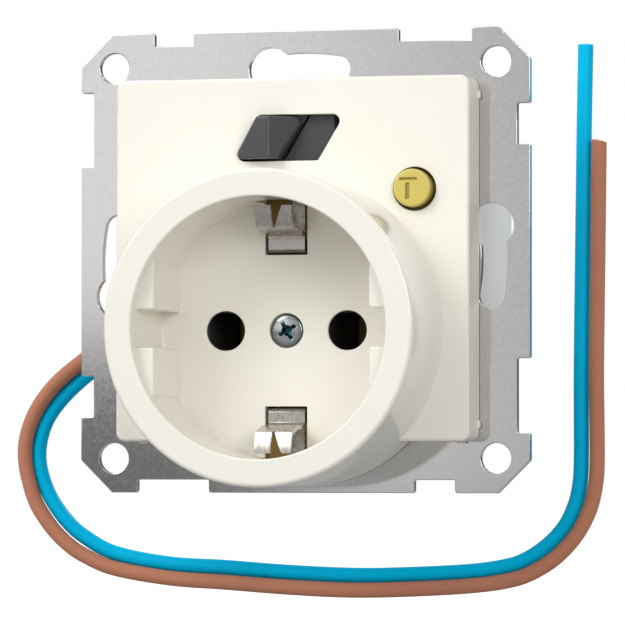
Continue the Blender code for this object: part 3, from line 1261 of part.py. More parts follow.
def main():
    clear_scene()
    cream = finish("cream_plastic", (0.91, 0.90, 0.82), 0.25)
    galvanised = finish("galvanised_steel", (0.56, 0.55, 0.54), 0.35, 1.0)
    resin = finish("thermoset", (0.80, 0.79, 0.74), 0.5)
    grey = finish("housing_plastic", (0.82, 0.82, 0.80), 0.45)
    charcoal = finish("charcoal_plastic", (0.09, 0.09, 0.10), 0.4)
    yellow = finish("yellow_plastic", (0.80, 0.66, 0.14), 0.35)
    orange = finish("release_plastic", (0.80, 0.32, 0.06), 0.4)
    nickel = finish("nickel_plate", (0.66, 0.64, 0.60), 0.3, 1.0)
    zinc = finish("zinc_plate", (0.62, 0.66, 0.70), 0.3, 1.0)
    steel = finish("spring_steel", (0.50, 0.50, 0.52), 0.35, 1.0)
    brass = finish("brass", (0.72, 0.56, 0.28), 0.3, 1.0)
    silver = finish("silver_contact", (0.80, 0.78, 0.74), 0.3, 1.0)
    copper = finish("copper", (0.72, 0.38, 0.22), 0.35, 1.0)
    green = finish("board", (0.06, 0.24, 0.12), 0.5)
    black = finish("black_case", (0.04, 0.04, 0.045), 0.5)
    ceramic = finish("ceramic", (0.62, 0.55, 0.40), 0.6)
    varistor_blue = finish("varistor_coat", (0.05, 0.16, 0.42), 0.4)
    brown_skin = finish("brown_insulation", (0.42, 0.20, 0.13), 0.4)
    blue_skin = finish("blue_insulation", (0.0, 0.38, 0.62), 0.4)

    build_mounting_plate(galvanised)
    build_front_cover(cream)
    build_socket_base(resin)
    build_live_contact("left_contact", -1, brass)
    build_live_contact("right_contact", 1, brass)
    build_earth_strip(nickel)
    build_earth_link(brass)
    build_cover_screw(zinc, brass)
    build_toggle(charcoal, steel)
    build_mechanism_frame(steel)
    build_contact_carrier(resin, silver)
    build_test_button(yellow, steel, brass)
    build_rcd_housing(grey)
    build_rear_cover(grey, steel)
    build_terminals(brass, steel, orange)
    build_board(green)
    build_transformer(black, copper)
    build_relay(black, steel)
    build_small_parts(ceramic, varistor_blue)
    build_lead("brown_lead", BROWN_ROUTE, BROWN_Y, brown_skin)
    build_lead("blue_lead", BLUE_ROUTE, BLUE_Y, blue_skin)


main()
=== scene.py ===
"""Looks of a flush-mounting wall socket with a built-in residual current breaker.

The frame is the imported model's own: X runs to the right, Y into the wall and Z up, in metres.
"""

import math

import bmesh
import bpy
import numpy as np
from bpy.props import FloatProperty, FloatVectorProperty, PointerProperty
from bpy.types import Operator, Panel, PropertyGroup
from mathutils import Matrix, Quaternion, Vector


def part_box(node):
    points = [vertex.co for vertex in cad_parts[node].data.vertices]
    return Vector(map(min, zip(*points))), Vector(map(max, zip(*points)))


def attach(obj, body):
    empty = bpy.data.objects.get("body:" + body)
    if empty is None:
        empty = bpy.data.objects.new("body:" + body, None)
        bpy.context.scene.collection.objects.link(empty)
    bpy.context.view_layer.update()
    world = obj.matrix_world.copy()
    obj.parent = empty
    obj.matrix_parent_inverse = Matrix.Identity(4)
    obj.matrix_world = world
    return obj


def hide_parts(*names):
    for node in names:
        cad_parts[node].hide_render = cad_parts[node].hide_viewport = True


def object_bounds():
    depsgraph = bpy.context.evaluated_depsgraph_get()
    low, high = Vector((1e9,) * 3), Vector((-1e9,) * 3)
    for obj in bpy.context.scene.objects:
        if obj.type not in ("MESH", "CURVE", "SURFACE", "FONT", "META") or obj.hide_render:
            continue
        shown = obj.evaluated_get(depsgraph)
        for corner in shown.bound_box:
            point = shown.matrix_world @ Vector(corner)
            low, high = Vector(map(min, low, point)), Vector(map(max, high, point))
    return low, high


bl_info = {
    "name": "RCD wall socket looks",
    "version": (1, 0, 0),
    "blender": (4, 5, 0),
    "location": "3D View > Sidebar > Socket",
    "description": "Dresses the packed wall socket and sets up its studio",
    "category": "Object",
}

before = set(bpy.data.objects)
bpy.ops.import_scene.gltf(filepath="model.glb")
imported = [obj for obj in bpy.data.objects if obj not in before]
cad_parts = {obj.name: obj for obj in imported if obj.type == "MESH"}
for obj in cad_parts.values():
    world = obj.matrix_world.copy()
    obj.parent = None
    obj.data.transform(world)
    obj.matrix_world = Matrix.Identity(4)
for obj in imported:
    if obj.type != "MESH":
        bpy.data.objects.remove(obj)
CAD_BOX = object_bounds()
MM = 0.001

# Places that the frame gives
PLATE_LOW, PLATE_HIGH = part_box("mounting_plate")
COVER_LOW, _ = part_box("front_cover")
SCREW_LOW, SCREW_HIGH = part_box("cover_screw")
_, STRIP_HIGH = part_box("earth_strip")
LEVER_LOW, LEVER_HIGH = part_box("toggle_lever")
PIN_LOW, PIN_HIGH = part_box("toggle_pin")
BUTTON_LOW, BUTTON_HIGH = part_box("test_button")
GAP = 0.3 * MM
SOCKET_Z = (SCREW_LOW.z + SCREW_HIGH.z) / 2
SOCKET_CENTRE = np.array([0.0, SOCKET_Z])
COLLAR_FRONT = COVER_LOW.y
COLLAR_RADIUS = SOCKET_Z - COVER_LOW.z
PLATE_HALF = PLATE_HIGH.x
PLATE_FRONT = PLATE_LOW.y
PLATE_BACK = PLATE_HIGH.y
COVER_REAR = PLATE_FRONT - GAP

# Camera, found from the photograph
CAMERA_PLACE = Vector((0.18548, -0.73095, -0.03198))
CAMERA_TARGET = Vector((0.00114, 0.0, -0.00782))
CAMERA_ROLL = 0.00096
CAMERA_LENS = 282.98
CAMERA_SENSOR = 36.0

# Lamps: place, size and the setting of their power
LAMPS = {
    "key_lamp": ((-0.55, -0.75, 0.62), 0.55, "key_power"),
    "fill_lamp": ((0.55, -0.8, 0.25), 0.4, "fill_power"),
    "side_lamp": ((0.3, 0.5, 0.4), 0.25, "side_power"),
}

# Surroundings by direction: the levels at both ends, and the ends along the axis
PANEL_LEFT = (1.0, 0.62, -0.265, -0.2)
PANEL_MIDDLE = (1.0, 0.7, -0.15, 0.15)
PANEL_TOP = (1.0, 1.9, 0.5, 0.8)
PANEL_BEHIND = (1.0, 0.3, -0.1, 0.3)
DARK_GAP_ACROSS = (0.8, 0.0, -0.262, -0.232)
DARK_GAP_UP = (1.0, 0.0, 0.014, 0.034)
MATT_ACROSS = (1.1, 0.9, -0.6, 0.6)
FLOOR_REACH = 4.0

# Leads, with the routes that their solids follow, seen from the front
LEAD_DIAMETER = 2.4 * MM
LEAD_STEP = 0.8 * MM
LEAD_SIDES = 32
BROWN_Y = 17.9 * MM
BLUE_Y = 19.25 * MM
BROWN_ROUTE = [
    (-23.2, -8), (-26, -8), (-29.6, -8.3), (-33.43, -9.6), (-37.36, -11.9), (-41.07, -14.7),
    (-44.87, -17.7), (-47.7, -20.9), (-49.5, -24.1), (-50.46, -27.3), (-50.57, -30.4),
    (-49.98, -33.6), (-48.67, -37.4), (-46.27, -41), (-43.57, -43.7), (-40.67, -45.6), (-35.74, -47.6),
    (-26.58, -49.1), (-17.58, -49.7), (-7.48, -50.4), (2.52, -50.8), (12.02, -50.6), (22.02, -50),
    (28.32, -49.1), (32.02, -47.8), (35.62, -45.5), (38.72, -42.2), (40.72, -38.6), (41.72, -35),
    (42.12, -30.4), (42.02, -18), (42.12, -8), (42.32, 7), (42.47, 19.4)]
BLUE_ROUTE = [
    (-23.2, -11.7), (-26, -11.7), (-29.62, -11.8), (-33.41, -12.75), (-37.6, -14.8), (-41.6, -17.6),
    (-45.05, -20.85), (-47.36, -24.05), (-48.47, -27.3), (-48.68, -30.4), (-47.97, -33.62),
    (-46.46, -36.86), (-43.94, -40.2), (-40.92, -42.73), (-35.91, -45.24), (-26.96, -46.87),
    (-17.85, -47.37), (-7.75, -48.07), (2.26, -48.47), (10.46, -48.37), (21.68, -47.77), (27.8, -46.86),
    (31.04, -45.64), (34.26, -43.41), (36.76, -40.66), (38.26, -37.7), (39.06, -34.6), (39.36, -30.4),
    (39.36, -18), (39.46, -8), (39.66, 7), (39.86, 21), (40.11, 34.3)]
BROWN_CUT_SLOPE = 0.18
CORE_DIAMETER = 1.38 * MM
CORE_SINK = 0.05 * MM
ROUTE_STEPS = 20

# Mounting plate
CORNER_CUT = 5.0 * MM
NOTCH_DEPTH = 2.0 * MM
SHORT_NOTCH_WIDTH = 6.3 * MM
SHORT_NOTCH_INSET = 14.85 * MM
LONG_NOTCH_WIDTH = 11.4 * MM
LONG_NOTCH_INSET = 14.8 * MM
NOTCH_OUTER_RADIUS = 0.4 * MM
NOTCH_INNER_RADIUS = 0.25 * MM
CORNER_HOLE_DIAMETER = 4.7 * MM
CORNER_HOLE_INSET = 5.3 * MM
KEYHOLE_CIRCLE_RADIUS = 30.0 * MM
KEYHOLE_HEAD_DIAMETER = 6.8 * MM
KEYHOLE_SLOT_WIDTH = 4.0 * MM
KEYHOLE_HEAD_ANGLE = math.radians(-10.0)
KEYHOLE_SLOT_ANGLE = math.radians(10.4)
BASE_OPENING_CLEARANCE = 0.3 * MM
BASE_BLOCK_HALF_WIDTH = 14.2 * MM
BASE_BLOCK_TOP = 5.0 * MM
BASE_BLOCK_BOTTOM = -21.0 * MM
HOUSING_SCREW_PLACE = 17.5 * MM
HOUSING_SCREW_HOLE = 2.6 * MM

# Front cover
COVER_HALF = 27.65 * MM
NUB_RISE = 0.3 * MM
COVER_FRONT = -9.0 * MM
COVER_CORNER_RADIUS = 1.4 * MM
COVER_WALL = 1.7 * MM
NUB_WIDTH = 1.2 * MM
NUB_INSET = 2.6 * MM
NUB_CORNER = 0.2 * MM
NUB_EDGES = (0.15 * MM, 0.1 * MM)
NUB_SETBACK = 0.1 * MM
REAR_EDGE = 0.05 * MM
COLLAR_WALL = 1.6 * MM
RECESS_RADIUS = 19.5 * MM
RECESS_WALL = 1.5 * MM
FLOOR_FRONT = COLLAR_FRONT + 17.5 * MM
FLOOR_BACK = FLOOR_FRONT + 2.4 * MM
GUIDE_FLAT = 16.5 * MM
GUIDE_INNER = 2.85 * MM
GUIDE_OUTER = 10.3 * MM
GUIDE_SETBACK = 2.3 * MM
GUIDE_EDGE = 0.3 * MM
PIN_PITCH = 19.0 * MM
PIN_HOLE_DIAMETER = 6.0 * MM
PIN_HOLE_EDGE = 0.25 * MM
EARTH_SLOT_WIDTH = 6.6 * MM
EARTH_SLOT_INNER = 11.45 * MM
EARTH_SLOT_CORNER = 0.12 * MM
EARTH_CHANNEL_HEIGHT = 6.0 * MM
HEAD_BORE_DIAMETER = 5.3 * MM
HEAD_BORE_EDGE = 0.15 * MM
SHAFT_BORE_DIAMETER = 3.6 * MM
CONTACT_SETBACK = 17.0 * MM
PIN_LIP = 0.5 * MM
PIN_CHAMBER_DIAMETER = 7.6 * MM
COUNTERBORE_DEPTH = 1.8 * MM

# Toggle and its window
PIVOT_X = (PIN_LOW.x + PIN_HIGH.x) / 2
WINDOW_X = PIVOT_X + 0.88 * MM
WINDOW_Z = (PIN_LOW.z + PIN_HIGH.z) / 2 - 0.1 * MM
WINDOW_WIDTH = 13.45 * MM
WINDOW_HEIGHT = 7.05 * MM
WINDOW_SLANT = math.tan(math.radians(31.0))
WINDOW_BLUNT = 1.1 * MM
WINDOW_SHARP = 0.45 * MM
PIVOT_Y = (PIN_LOW.y + PIN_HIGH.y) / 2
LEVER_WIDTH = 6.9 * MM
LEVER_LEFT = WINDOW_X - WINDOW_WIDTH / 2 + GAP
RIDGE_X = -3.0 * MM
RIDGE_RISE = 2.6 * MM
FACET_WIDTH = 2.3 * MM
FACET_DROP = 0.4 * MM
LEFT_DROP = 2.2 * MM
RIGHT_DROP = 5.0 * MM
APRON_RADIUS = PIVOT_Y - COVER_FRONT - COVER_WALL - GAP
APRON_THICKNESS = 1.0 * MM
APRON_LEFT = math.radians(-71.0)
APRON_CORNER = 7.6 * MM
APRON_END = (8.6 * MM, 8.6 * MM)
TOGGLE_SLIT = 0.45 * MM
APRON_BOTTOM = LEVER_LOW.z
APRON_TOP = LEVER_HIGH.z
HUB_RADIUS = 2.6 * MM
PIN_BORE_DIAMETER = 2.6 * MM
STEM_WIDTH = 2.4 * MM
CRANK_RADIUS = 7.0 * MM
CRANK_WIDTH = 1.4 * MM
CRANK_HALF_HEIGHT = 1.5 * MM
PEG_DIAMETER = 2.0 * MM
TOGGLE_REST = math.radians(-11.0)

# Test button
STEM_X = (BUTTON_LOW.x + BUTTON_HIGH.x) / 2
STEM_Z = (BUTTON_LOW.z + BUTTON_HIGH.z) / 2
BUTTON_X = STEM_X + 0.75 * MM
BUTTON_Z = STEM_Z - 0.2 * MM
BUTTON_DIAMETER = 5.8 * MM
BUTTON_HOLE_DIAMETER = 6.65 * MM
BUTTON_HOLE_SHIFT = (0.12 * MM, -0.08 * MM)
BUTTON_FRONT = BUTTON_LOW.y
BUTTON_END = BUTTON_HIGH.y
SLEEVE_WALL = 1.2 * MM
SLEEVE_DEPTH = 1.1 * MM
FLANGE_RADIUS = (BUTTON_HIGH.x - BUTTON_LOW.x) / 2
FLANGE_FRONT = COVER_FRONT + COVER_WALL + SLEEVE_DEPTH + GAP
FLANGE_THICKNESS = 0.8 * MM
STEM_DIAMETER = 2.4 * MM
MARK_BAR = (-1.93 * MM, 1.13 * MM, 0.84 * MM, 1.57 * MM)
MARK_POST = (-0.98 * MM, -1.7 * MM, -0.31 * MM, 0.77 * MM)
MARK_CORNER = 0.15 * MM
# Painted shade in the mark's pits and down the button's side: the yellow turns olive from this depth to the
# mark's floor
MARK_SHADE = (0.40, 0.33, 0.06)
MARK_SHADE_DEPTH = 0.2 * MM

# Earth strip and central screw
STRIP_THICKNESS = 0.6 * MM
STRIP_WIDTH = 5.7 * MM
STRIP_FLAT = STRIP_HIGH.y - STRIP_THICKNESS / 2
CLIP_ROOT = 14.6 * MM
CLIP_BULGE = 4.0 * MM
CLIP_HEIGHT = 7.9 * MM
CLIP_FOLD = EARTH_SLOT_INNER + 0.65 * MM
CLIP_SETBACK = 0.25 * MM
CLIP_BENDS = np.array([(1.0, 1.0), (0.7, 0.995), (0.27, 0.915), (0.03, 0.5)])
STRIP_EDGE = 0.07 * MM
# Painted shade deep in the earth slots: the nickel turns dark brown between these depths behind the recess
# floor
STRIP_SHADE = (0.05, 0.035, 0.025)
STRIP_SHADE_DEPTHS = (0.9 * MM, 1.4 * MM)
SLIT_LEFT = 0.4 * MM
SLIT_RIGHT = 1.75 * MM
SLIT_ROOT = -0.2 * MM
SLIT_RADII = (0.05 * MM, 0.2 * MM, 0.05 * MM)
BACKING_LEFT = 0.9 * MM
# Half width of the dark plates that paint shade deep in the earth slots
SHADE_PLATE_SIDE = 3.27 * MM
BACKING_REACH = 20.3 * MM
BACKING_GAP = 0.02 * MM
SCREW_HEAD_RADIUS = 2.4 * MM
SCREW_SINK = 0.3 * MM
SCREW_HEAD_HEIGHT = 1.1 * MM
SCREW_SHAFT_RADIUS = 1.5 * MM
SCREW_DOME = 0.3 * MM
SCREW_EDGE = 0.06 * MM
# Painted shade in the cross recess: the zinc turns dark teal between these depths below the head's top
SCREW_RECESS_SHADE = (0.02, 0.09, 0.11)
SCREW_RECESS_SHADE_DEPTHS = (0.08 * MM, 0.3 * MM)
RECESS_SPAN = 3.3 * MM
RECESS_ARM = 0.6 * MM
RECESS_DEPTH = 0.8 * MM
RECESS_TURN = math.radians(30.0)
RECESS_CORE = 0.8 * MM
RECESS_CORE_TAPER = 0.6
RECESS_ARM_TAPER = (0.55, 0.7)

# Pieces behind the wall
HOUSING_SCREW_EDGE = 0.1 * MM
RELEASE_EDGE = 0.15 * MM

# Facets
ARC_STEPS = 6
ROUND = 360
SMALL_ROUND = 64
OVER = 1.0 * MM
TOUCH = 0.001 * MM
DOUBLE = 1e-7
SMOOTH_BELOW = math.radians(32.0)


class StudioSettings(PropertyGroup):
    """Floor, lamps and surroundings."""
    floor_drop: FloatProperty(
        name="Floor drop", description="From the part's lowest point to the floor",
        default=0.028, min=0.0, subtype="DISTANCE", unit="LENGTH")
    floor_colour: FloatVectorProperty(
        name="Floor colour", description="Pale grey of the studio floor",
        default=(0.86, 0.86, 0.86), min=0.0, max=1.0, size=3, subtype="COLOR")
    floor_lift: FloatProperty(
        name="Floor lift", description="Light that the floor gives off to the camera, under its shadow",
        default=0.62, min=0.0, max=1.0, subtype="FACTOR")
    floor_bounce: FloatProperty(
        name="Floor bounce", description="How much light the floor throws back onto the part",
        default=0.4, min=0.0, max=1.0, subtype="FACTOR")
    key_power: FloatProperty(
        name="Key lamp", description="Power of the large lamp at the upper left",
        default=5.9, min=0.0, subtype="POWER", unit="POWER")
    fill_power: FloatProperty(
        name="Fill lamp", description="Power of the weak lamp at the right",
        default=2.7, min=0.0, subtype="POWER", unit="POWER")
    side_power: FloatProperty(
        name="Side lamp", description="Power of the lamp at the right, behind the plate's plane",
        default=2.0, min=0.0, subtype="POWER", unit="POWER")
    ambient: FloatProperty(
        name="Ambient level", description="Light from all round on matt surfaces",
        default=0.58, min=0.0, max=1.0, subtype="FACTOR")


class PlateSettings(PropertyGroup):
    """Stamped mounting plate."""
    steel: FloatVectorProperty(
        name="Steel colour", description="Galvanised steel",
        default=(0.735, 0.72, 0.715), min=0.0, max=1.0, size=3, subtype="COLOR")
    punch_edge: FloatProperty(
        name="Punched edge", description="Radius that the punch leaves on the front edges",
        default=0.13 * MM, min=0.0, subtype="DISTANCE", unit="LENGTH")


class CoverSettings(PropertyGroup):
    """Cream front moulding."""
    cream: FloatVectorProperty(
        name="Cream colour", description="Cream thermoplastic",
        default=(0.93, 0.905, 0.82), min=0.0, max=1.0, size=3, subtype="COLOR")
    edge_radius: FloatProperty(
        name="Front edge", description="Radius round the square front",
        default=0.5 * MM, min=0.0, subtype="DISTANCE", unit="LENGTH")
    collar_edge: FloatProperty(
        name="Collar edge", description="Radius of the collar's outer edge",
        default=0.7 * MM, min=0.0, subtype="DISTANCE", unit="LENGTH")
    mouth_radius: FloatProperty(
        name="Recess mouth", description="Radius of the recess's inner edge",
        default=0.3 * MM, min=0.0, subtype="DISTANCE", unit="LENGTH")
    window_edge: FloatProperty(
        name="Window edge", description="Radius round the toggle's window and the button's hole",
        default=0.12 * MM, min=0.0, subtype="DISTANCE", unit="LENGTH")
    floor_fillet: FloatProperty(
        name="Recess corner", description="Radius between the recess's wall and floor",
        default=0.4 * MM, min=0.0, subtype="DISTANCE", unit="LENGTH")


class ControlSettings(PropertyGroup):
    """Toggle and test button."""
    charcoal: FloatVectorProperty(
        name="Charcoal", description="Dark plastic of the toggle",
        default=(0.058, 0.060, 0.066), min=0.0, max=1.0, size=3, subtype="COLOR")
    yellow: FloatVectorProperty(
        name="Yellow", description="Yellow plastic of the test button",
        default=(0.66, 0.54, 0.125), min=0.0, max=1.0, size=3, subtype="COLOR")
    lever_edge: FloatProperty(
        name="Lever edge", description="Radius along the lever's edges",
        default=0.28 * MM, min=0.0, subtype="DISTANCE", unit="LENGTH")
    button_edge: FloatProperty(
        name="Button edge", description="Radius round the button's face",
        default=0.4 * MM, min=0.0, subtype="DISTANCE", unit="LENGTH")
    mark_depth: FloatProperty(
        name="Mark depth", description="Depth of the test mark",
        default=0.3 * MM, min=0.0, subtype="DISTANCE", unit="LENGTH")


class LeadSettings(PropertyGroup):
    """Insulation of the two leads."""
    brown: FloatVectorProperty(
        name="Brown", description="Brown insulation",
        default=(0.56, 0.235, 0.145), min=0.0, max=1.0, size=3, subtype="COLOR")
    blue: FloatVectorProperty(
        name="Blue", description="Blue insulation",
        default=(0.0, 0.54, 0.89), min=0.0, max=1.0, size=3, subtype="COLOR")
    cut_edge: FloatProperty(
        name="Cut edge", description="Rounding at the cut ends",
        default=0.1 * MM, min=0.0, subtype="DISTANCE", unit="LENGTH")


class RearSettings(PropertyGroup):
    """Housing behind the wall and what shows at its back."""
    grey: FloatVectorProperty(
        name="Housing colour", description="White housing",
        default=(0.88, 0.88, 0.87), min=0.0, max=1.0, size=3, subtype="COLOR")
    edge: FloatProperty(
        name="Edge", description="Width of the rounded edges",
        default=0.25 * MM, min=0.0, subtype="DISTANCE", unit="LENGTH")


# Outlines, as arrays of points anticlockwise in the plane seen from the front

def circle(radius, centre=(0.0, 0.0), count=SMALL_ROUND):
    """Evenly turned points: centre + radius (cos a, sin a)."""
    angle = np.arange(count) * 2 * np.pi / count
    return np.array(centre) + radius * np.stack([np.cos(angle), np.sin(angle)], axis=1)


def box_outline(low_u, low_v, high_u, high_v):
    """Four corners of a rectangle."""
    return np.array([(low_u, low_v), (high_u, low_v), (high_u, high_v), (low_u, high_v)])


def unit(vectors):
    """Each vector over its own length."""
    return vectors / np.linalg.norm(vectors, axis=-1, keepdims=True)


def spun(outline, angle):
    """Outline turned anticlockwise about the middle: (x cos a - y sin a, x sin a + y cos a)."""
    cosine, sine = np.cos(angle), np.sin(angle)
    return outline @ np.array([[cosine, sine], [-sine, cosine]])


def rounded(corners, radii, steps=ARC_STEPS):
    """Closed outline with an arc at each corner.

    The arc's centre lies on the corner's bisector at radius / sin(half angle), and the arc turns
    from one tangent point to the other in even steps.
    """
    corners = np.asarray(corners, float)
    radii = np.broadcast_to(np.asarray(radii, float), len(corners))[:, None]
    before = unit(np.roll(corners, 1, axis=0) - corners)
    after = unit(np.roll(corners, -1, axis=0) - corners)
    half = np.arccos(np.sum(before * after, axis=1, keepdims=True)) / 2
    centre = corners + unit(before + after) * radii / np.sin(half)
    start = corners + before * radii / np.tan(half) - centre
    end = corners + after * radii / np.tan(half) - centre
    cross = start[:, 0] * end[:, 1] - start[:, 1] * end[:, 0]
    sweep = np.arctan2(cross, np.sum(start * end, axis=1))
    turn = sweep[:, None] * np.linspace(0.0, 1.0, steps + 1)
    x = start[:, :1] * np.cos(turn) - start[:, 1:] * np.sin(turn)
    y = start[:, :1] * np.sin(turn) + start[:, 1:] * np.cos(turn)
    return (centre[:, None, :] + np.stack([x, y], axis=2)).reshape(-1, 2)


def grown(outline, distance):
    """Closed anticlockwise outline moved outwards along the mitre of its neighbouring edges."""
    edge = np.roll(outline, -1, axis=0) - outline
    normal = unit(np.stack([edge[:, 1], -edge[:, 0]], axis=1))
    last = np.roll(normal, 1, axis=0)
    mitre = (normal + last) / (1 + np.sum(normal * last, axis=1, keepdims=True))
    return outline + distance * mitre


def mitres(path):
    """At each point of an open path, the step to its left that lies one away from both edges."""
    along = unit(np.diff(path, axis=0))
    normal = np.stack([-along[:, 1], along[:, 0]], axis=1)
    first = np.vstack([normal[:1], normal])
    last = np.vstack([normal, normal[-1:]])
    return (first + last) / (1 + np.sum(first * last, axis=1, keepdims=True))


def quarter(radius, steps=ARC_STEPS):
    """Inset r (1 - sin t) and depth r (1 - cos t) of a rounded edge, from the face inwards."""
    turn = np.linspace(0.0, np.pi / 2, steps + 1)
    return radius * (1 - np.sin(turn)), radius * (1 - np.cos(turn))


def edge_steps(radius):
    """Inset and depth of a rounded edge, or one plain step where the radius is nought."""
    return quarter(radius) if radius else (np.zeros(1), np.zeros(1))


# Surfaces, as arrays of rings

def levelled(outlines, stations):
    """Outlines in X and Z, each put at its own Y."""
    rings = np.empty((len(outlines), len(outlines[0]), 3))
    rings[:, :, [0, 2]] = outlines
    rings[:, :, 1] = np.asarray(stations, float)[:, None]
    return rings


def block(outline, front, back):
    """Outline carried straight from front to back."""
    return levelled([outline] * 2, (front, back))


def prism(outline, front, back, front_edge=0.0, back_edge=0.0):
    """Outline carried from front to back, with both ends rounded.

    It is drawn in by r (1 - sin t) at a depth of r (1 - cos t) from its end.
    """
    inset, depth = edge_steps(front_edge)
    rear_inset, rear_depth = edge_steps(back_edge)
    insets = np.concatenate([inset, rear_inset[::-1]])
    stations = np.concatenate([front + depth, back - rear_depth[::-1]])
    return levelled([grown(outline, -step) for step in insets], stations)


def bore(outline, front, back, mouth=0.0, back_mouth=0.0):
    """Cutter past both faces that leaves rounded edges.

    The outline grows by r (1 - sin t) at a depth of r (1 - cos t) from each face.
    """
    grow, depth = edge_steps(mouth)
    rear_grow, rear_depth = edge_steps(back_mouth)
    grows = np.concatenate([grow[:1], grow, rear_grow[::-1], rear_grow[:1]])
    stations = np.concatenate([[front - OVER], front - TOUCH + depth,
                               back + TOUCH - rear_depth[::-1], [back + OVER]])
    return levelled([grown(outline, step) for step in grows], stations)


def turned(profile, centre, count=SMALL_ROUND):
    """Profile of radius and Y, turned about a line along Y."""
    profile = np.asarray(profile, float)
    around = circle(1.0, count=count)
    outlines = np.array(centre) + profile[:, :1, None] * around[None, :, :]
    return levelled(outlines, profile[:, 1])


def upright(outline, low, high):
    """Outline in X and Y carried straight up Z."""
    return block(outline, low, high)[:, :, [0, 2, 1]]


# Meshes

def body_from(name, rings):
    """Object skinned over rings: quads between neighbouring rings, and a flat cap at each end."""
    count, around = rings.shape[:2]
    first = np.arange(count - 1)[:, None] * around + np.arange(around)[None, :]
    turned_on = first - first % around + (first + 1) % around
    faces = np.stack([first, turned_on, turned_on + around, first + around], axis=2).reshape(-1, 4).tolist()
    faces.append(list(range(around))[::-1])
    faces.append(list(range((count - 1) * around, count * around)))
    mesh = bpy.data.meshes.new(name)
    mesh.from_pydata(rings.reshape(-1, 3).tolist(), [], faces)
    tidy_mesh(mesh)
    return object_of(name, mesh)


def object_of(name, data):
    """Object of a mesh, lamp or camera, linked into the scene."""
    thing = bpy.data.objects.new(name, data)
    bpy.context.scene.collection.objects.link(thing)
    return thing


def tidy_mesh(mesh):
    """Merge doubled points and turn the faces outwards."""
    work = bmesh.new()
    work.from_mesh(mesh)
    bmesh.ops.remove_doubles(work, verts=work.verts, dist=DOUBLE)
    bmesh.ops.recalc_face_normals(work, faces=work.faces)
    work.to_mesh(mesh)
    work.free()


def settle(thing):
    """Replace an object's mesh by its evaluated one and drop its modifiers."""
    graph = bpy.context.evaluated_depsgraph_get()
    graph.update()
    mesh = bpy.data.meshes.new_from_object(thing.evaluated_get(graph))
    old = thing.data
    thing.modifiers.clear()
    thing.data = mesh
    bpy.data.meshes.remove(old)
    return thing


def carve(thing, operation, *shapes):
    """Join, cut or keep the common part with each shape in turn, and leave only the result."""
    tools = [body_from(thing.name + "_tool", rings) for rings in shapes]
    for tool in tools:
        step = thing.modifiers.new("carve", "BOOLEAN")
        step.operation = operation
        step.solver = "EXACT"
        step.object = tool
    settle(thing)
    for tool in tools:
        mesh = tool.data
        bpy.data.objects.remove(tool)
        bpy.data.meshes.remove(mesh)
    if not thing.data.polygons:
        raise RuntimeError(f"{thing.name}: nothing is left after {operation}")
    return thing


def soften(thing, width, segments=3, angle=30.0):
    """Bevel the sharp edges and keep the result."""
    step = thing.modifiers.new("edges", "BEVEL")
    step.width = width
    step.segments = segments
    step.limit_method = "ANGLE"
    step.angle_limit = math.radians(angle)
    step.use_clamp_overlap = True
    return settle(thing)


def copy_of(node, name):
    """Merged copy of a CAD node's mesh, with its flat faces joined up."""
    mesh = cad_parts[node].data.copy()
    mesh.name = name
    work = bmesh.new()
    work.from_mesh(mesh)
    bmesh.ops.remove_doubles(work, verts=work.verts, dist=DOUBLE)
    bmesh.ops.dissolve_limit(work, angle_limit=math.radians(0.5), verts=work.verts, edges=work.edges)
    work.to_mesh(mesh)
    work.free()
    return object_of(name, mesh)


def present(thing, material, slot, body, *nodes):
    """Shade a finished piece, give it its material, and let it ride on its body in place of CAD nodes."""
    mesh = thing.data
    tidy_mesh(mesh)
    mesh.materials.clear()
    mesh.materials.append(material)
    mesh.polygons.foreach_set("material_index", np.zeros(len(mesh.polygons), np.int32))
    mesh.shade_smooth()
    mesh.set_sharp_from_angle(angle=SMOOTH_BELOW)
    weigh = thing.modifiers.new("flat faces", "WEIGHTED_NORMAL")
    weigh.keep_sharp = True
    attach(thing, body)
    if nodes:
        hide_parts(*nodes)
    return thing


# Materials

def node(tree, kind, **settings):
    """New node with some of its settings changed."""
    made = tree.nodes.new(kind)
    for label, value in settings.items():
        setattr(made, label, value)
    return made


def new_group(name, inputs, outputs):
    """Shader group with its sockets, and the nodes that bring values in and take them out."""
    group = bpy.data.node_groups.new(name, "ShaderNodeTree")
    for label, kind, value in inputs:
        socket = group.interface.new_socket(label, in_out="INPUT", socket_type=kind)
        if value is not None:
            socket.default_value = value
    for label, kind in outputs:
        group.interface.new_socket(label, in_out="OUTPUT", socket_type=kind)
    return group, node(group, "NodeGroupInput"), node(group, "NodeGroupOutput")


def feed(tree, value, socket):
    """Set a socket to a number, or link it to another socket."""
    if isinstance(value, (int, float)):
        socket.default_value = value
    else:
        tree.links.new(value, socket)


def noise(tree, vector, scale, detail=4.0, roughness=0.55):
    """Noise texture on a vector; scale is a number or a socket."""
    made = node(tree, "ShaderNodeTexNoise")
    for label, value in (("Vector", vector), ("Scale", scale), ("Detail", detail), ("Roughness", roughness)):
        feed(tree, value, made.inputs[label])
    return made.outputs["Fac"]


def arithmetic(tree, operation, first, *others):
    """Math nodes that take in numbers or sockets one after another."""
    for other in others:
        made = node(tree, "ShaderNodeMath", operation=operation)
        feed(tree, first, made.inputs[0])
        feed(tree, other, made.inputs[1])
        first = made.outputs[0]
    return first


def spread(tree, value, low, high, start=0.3, end=0.7):
    """Map range from start..end to low..high; any of them may be a socket."""
    made = node(tree, "ShaderNodeMapRange")
    for label, number in (("Value", value), ("From Min", start), ("From Max", end), ("To Min", low),
                          ("To Max", high)):
        feed(tree, number, made.inputs[label])
    return made.outputs["Result"]


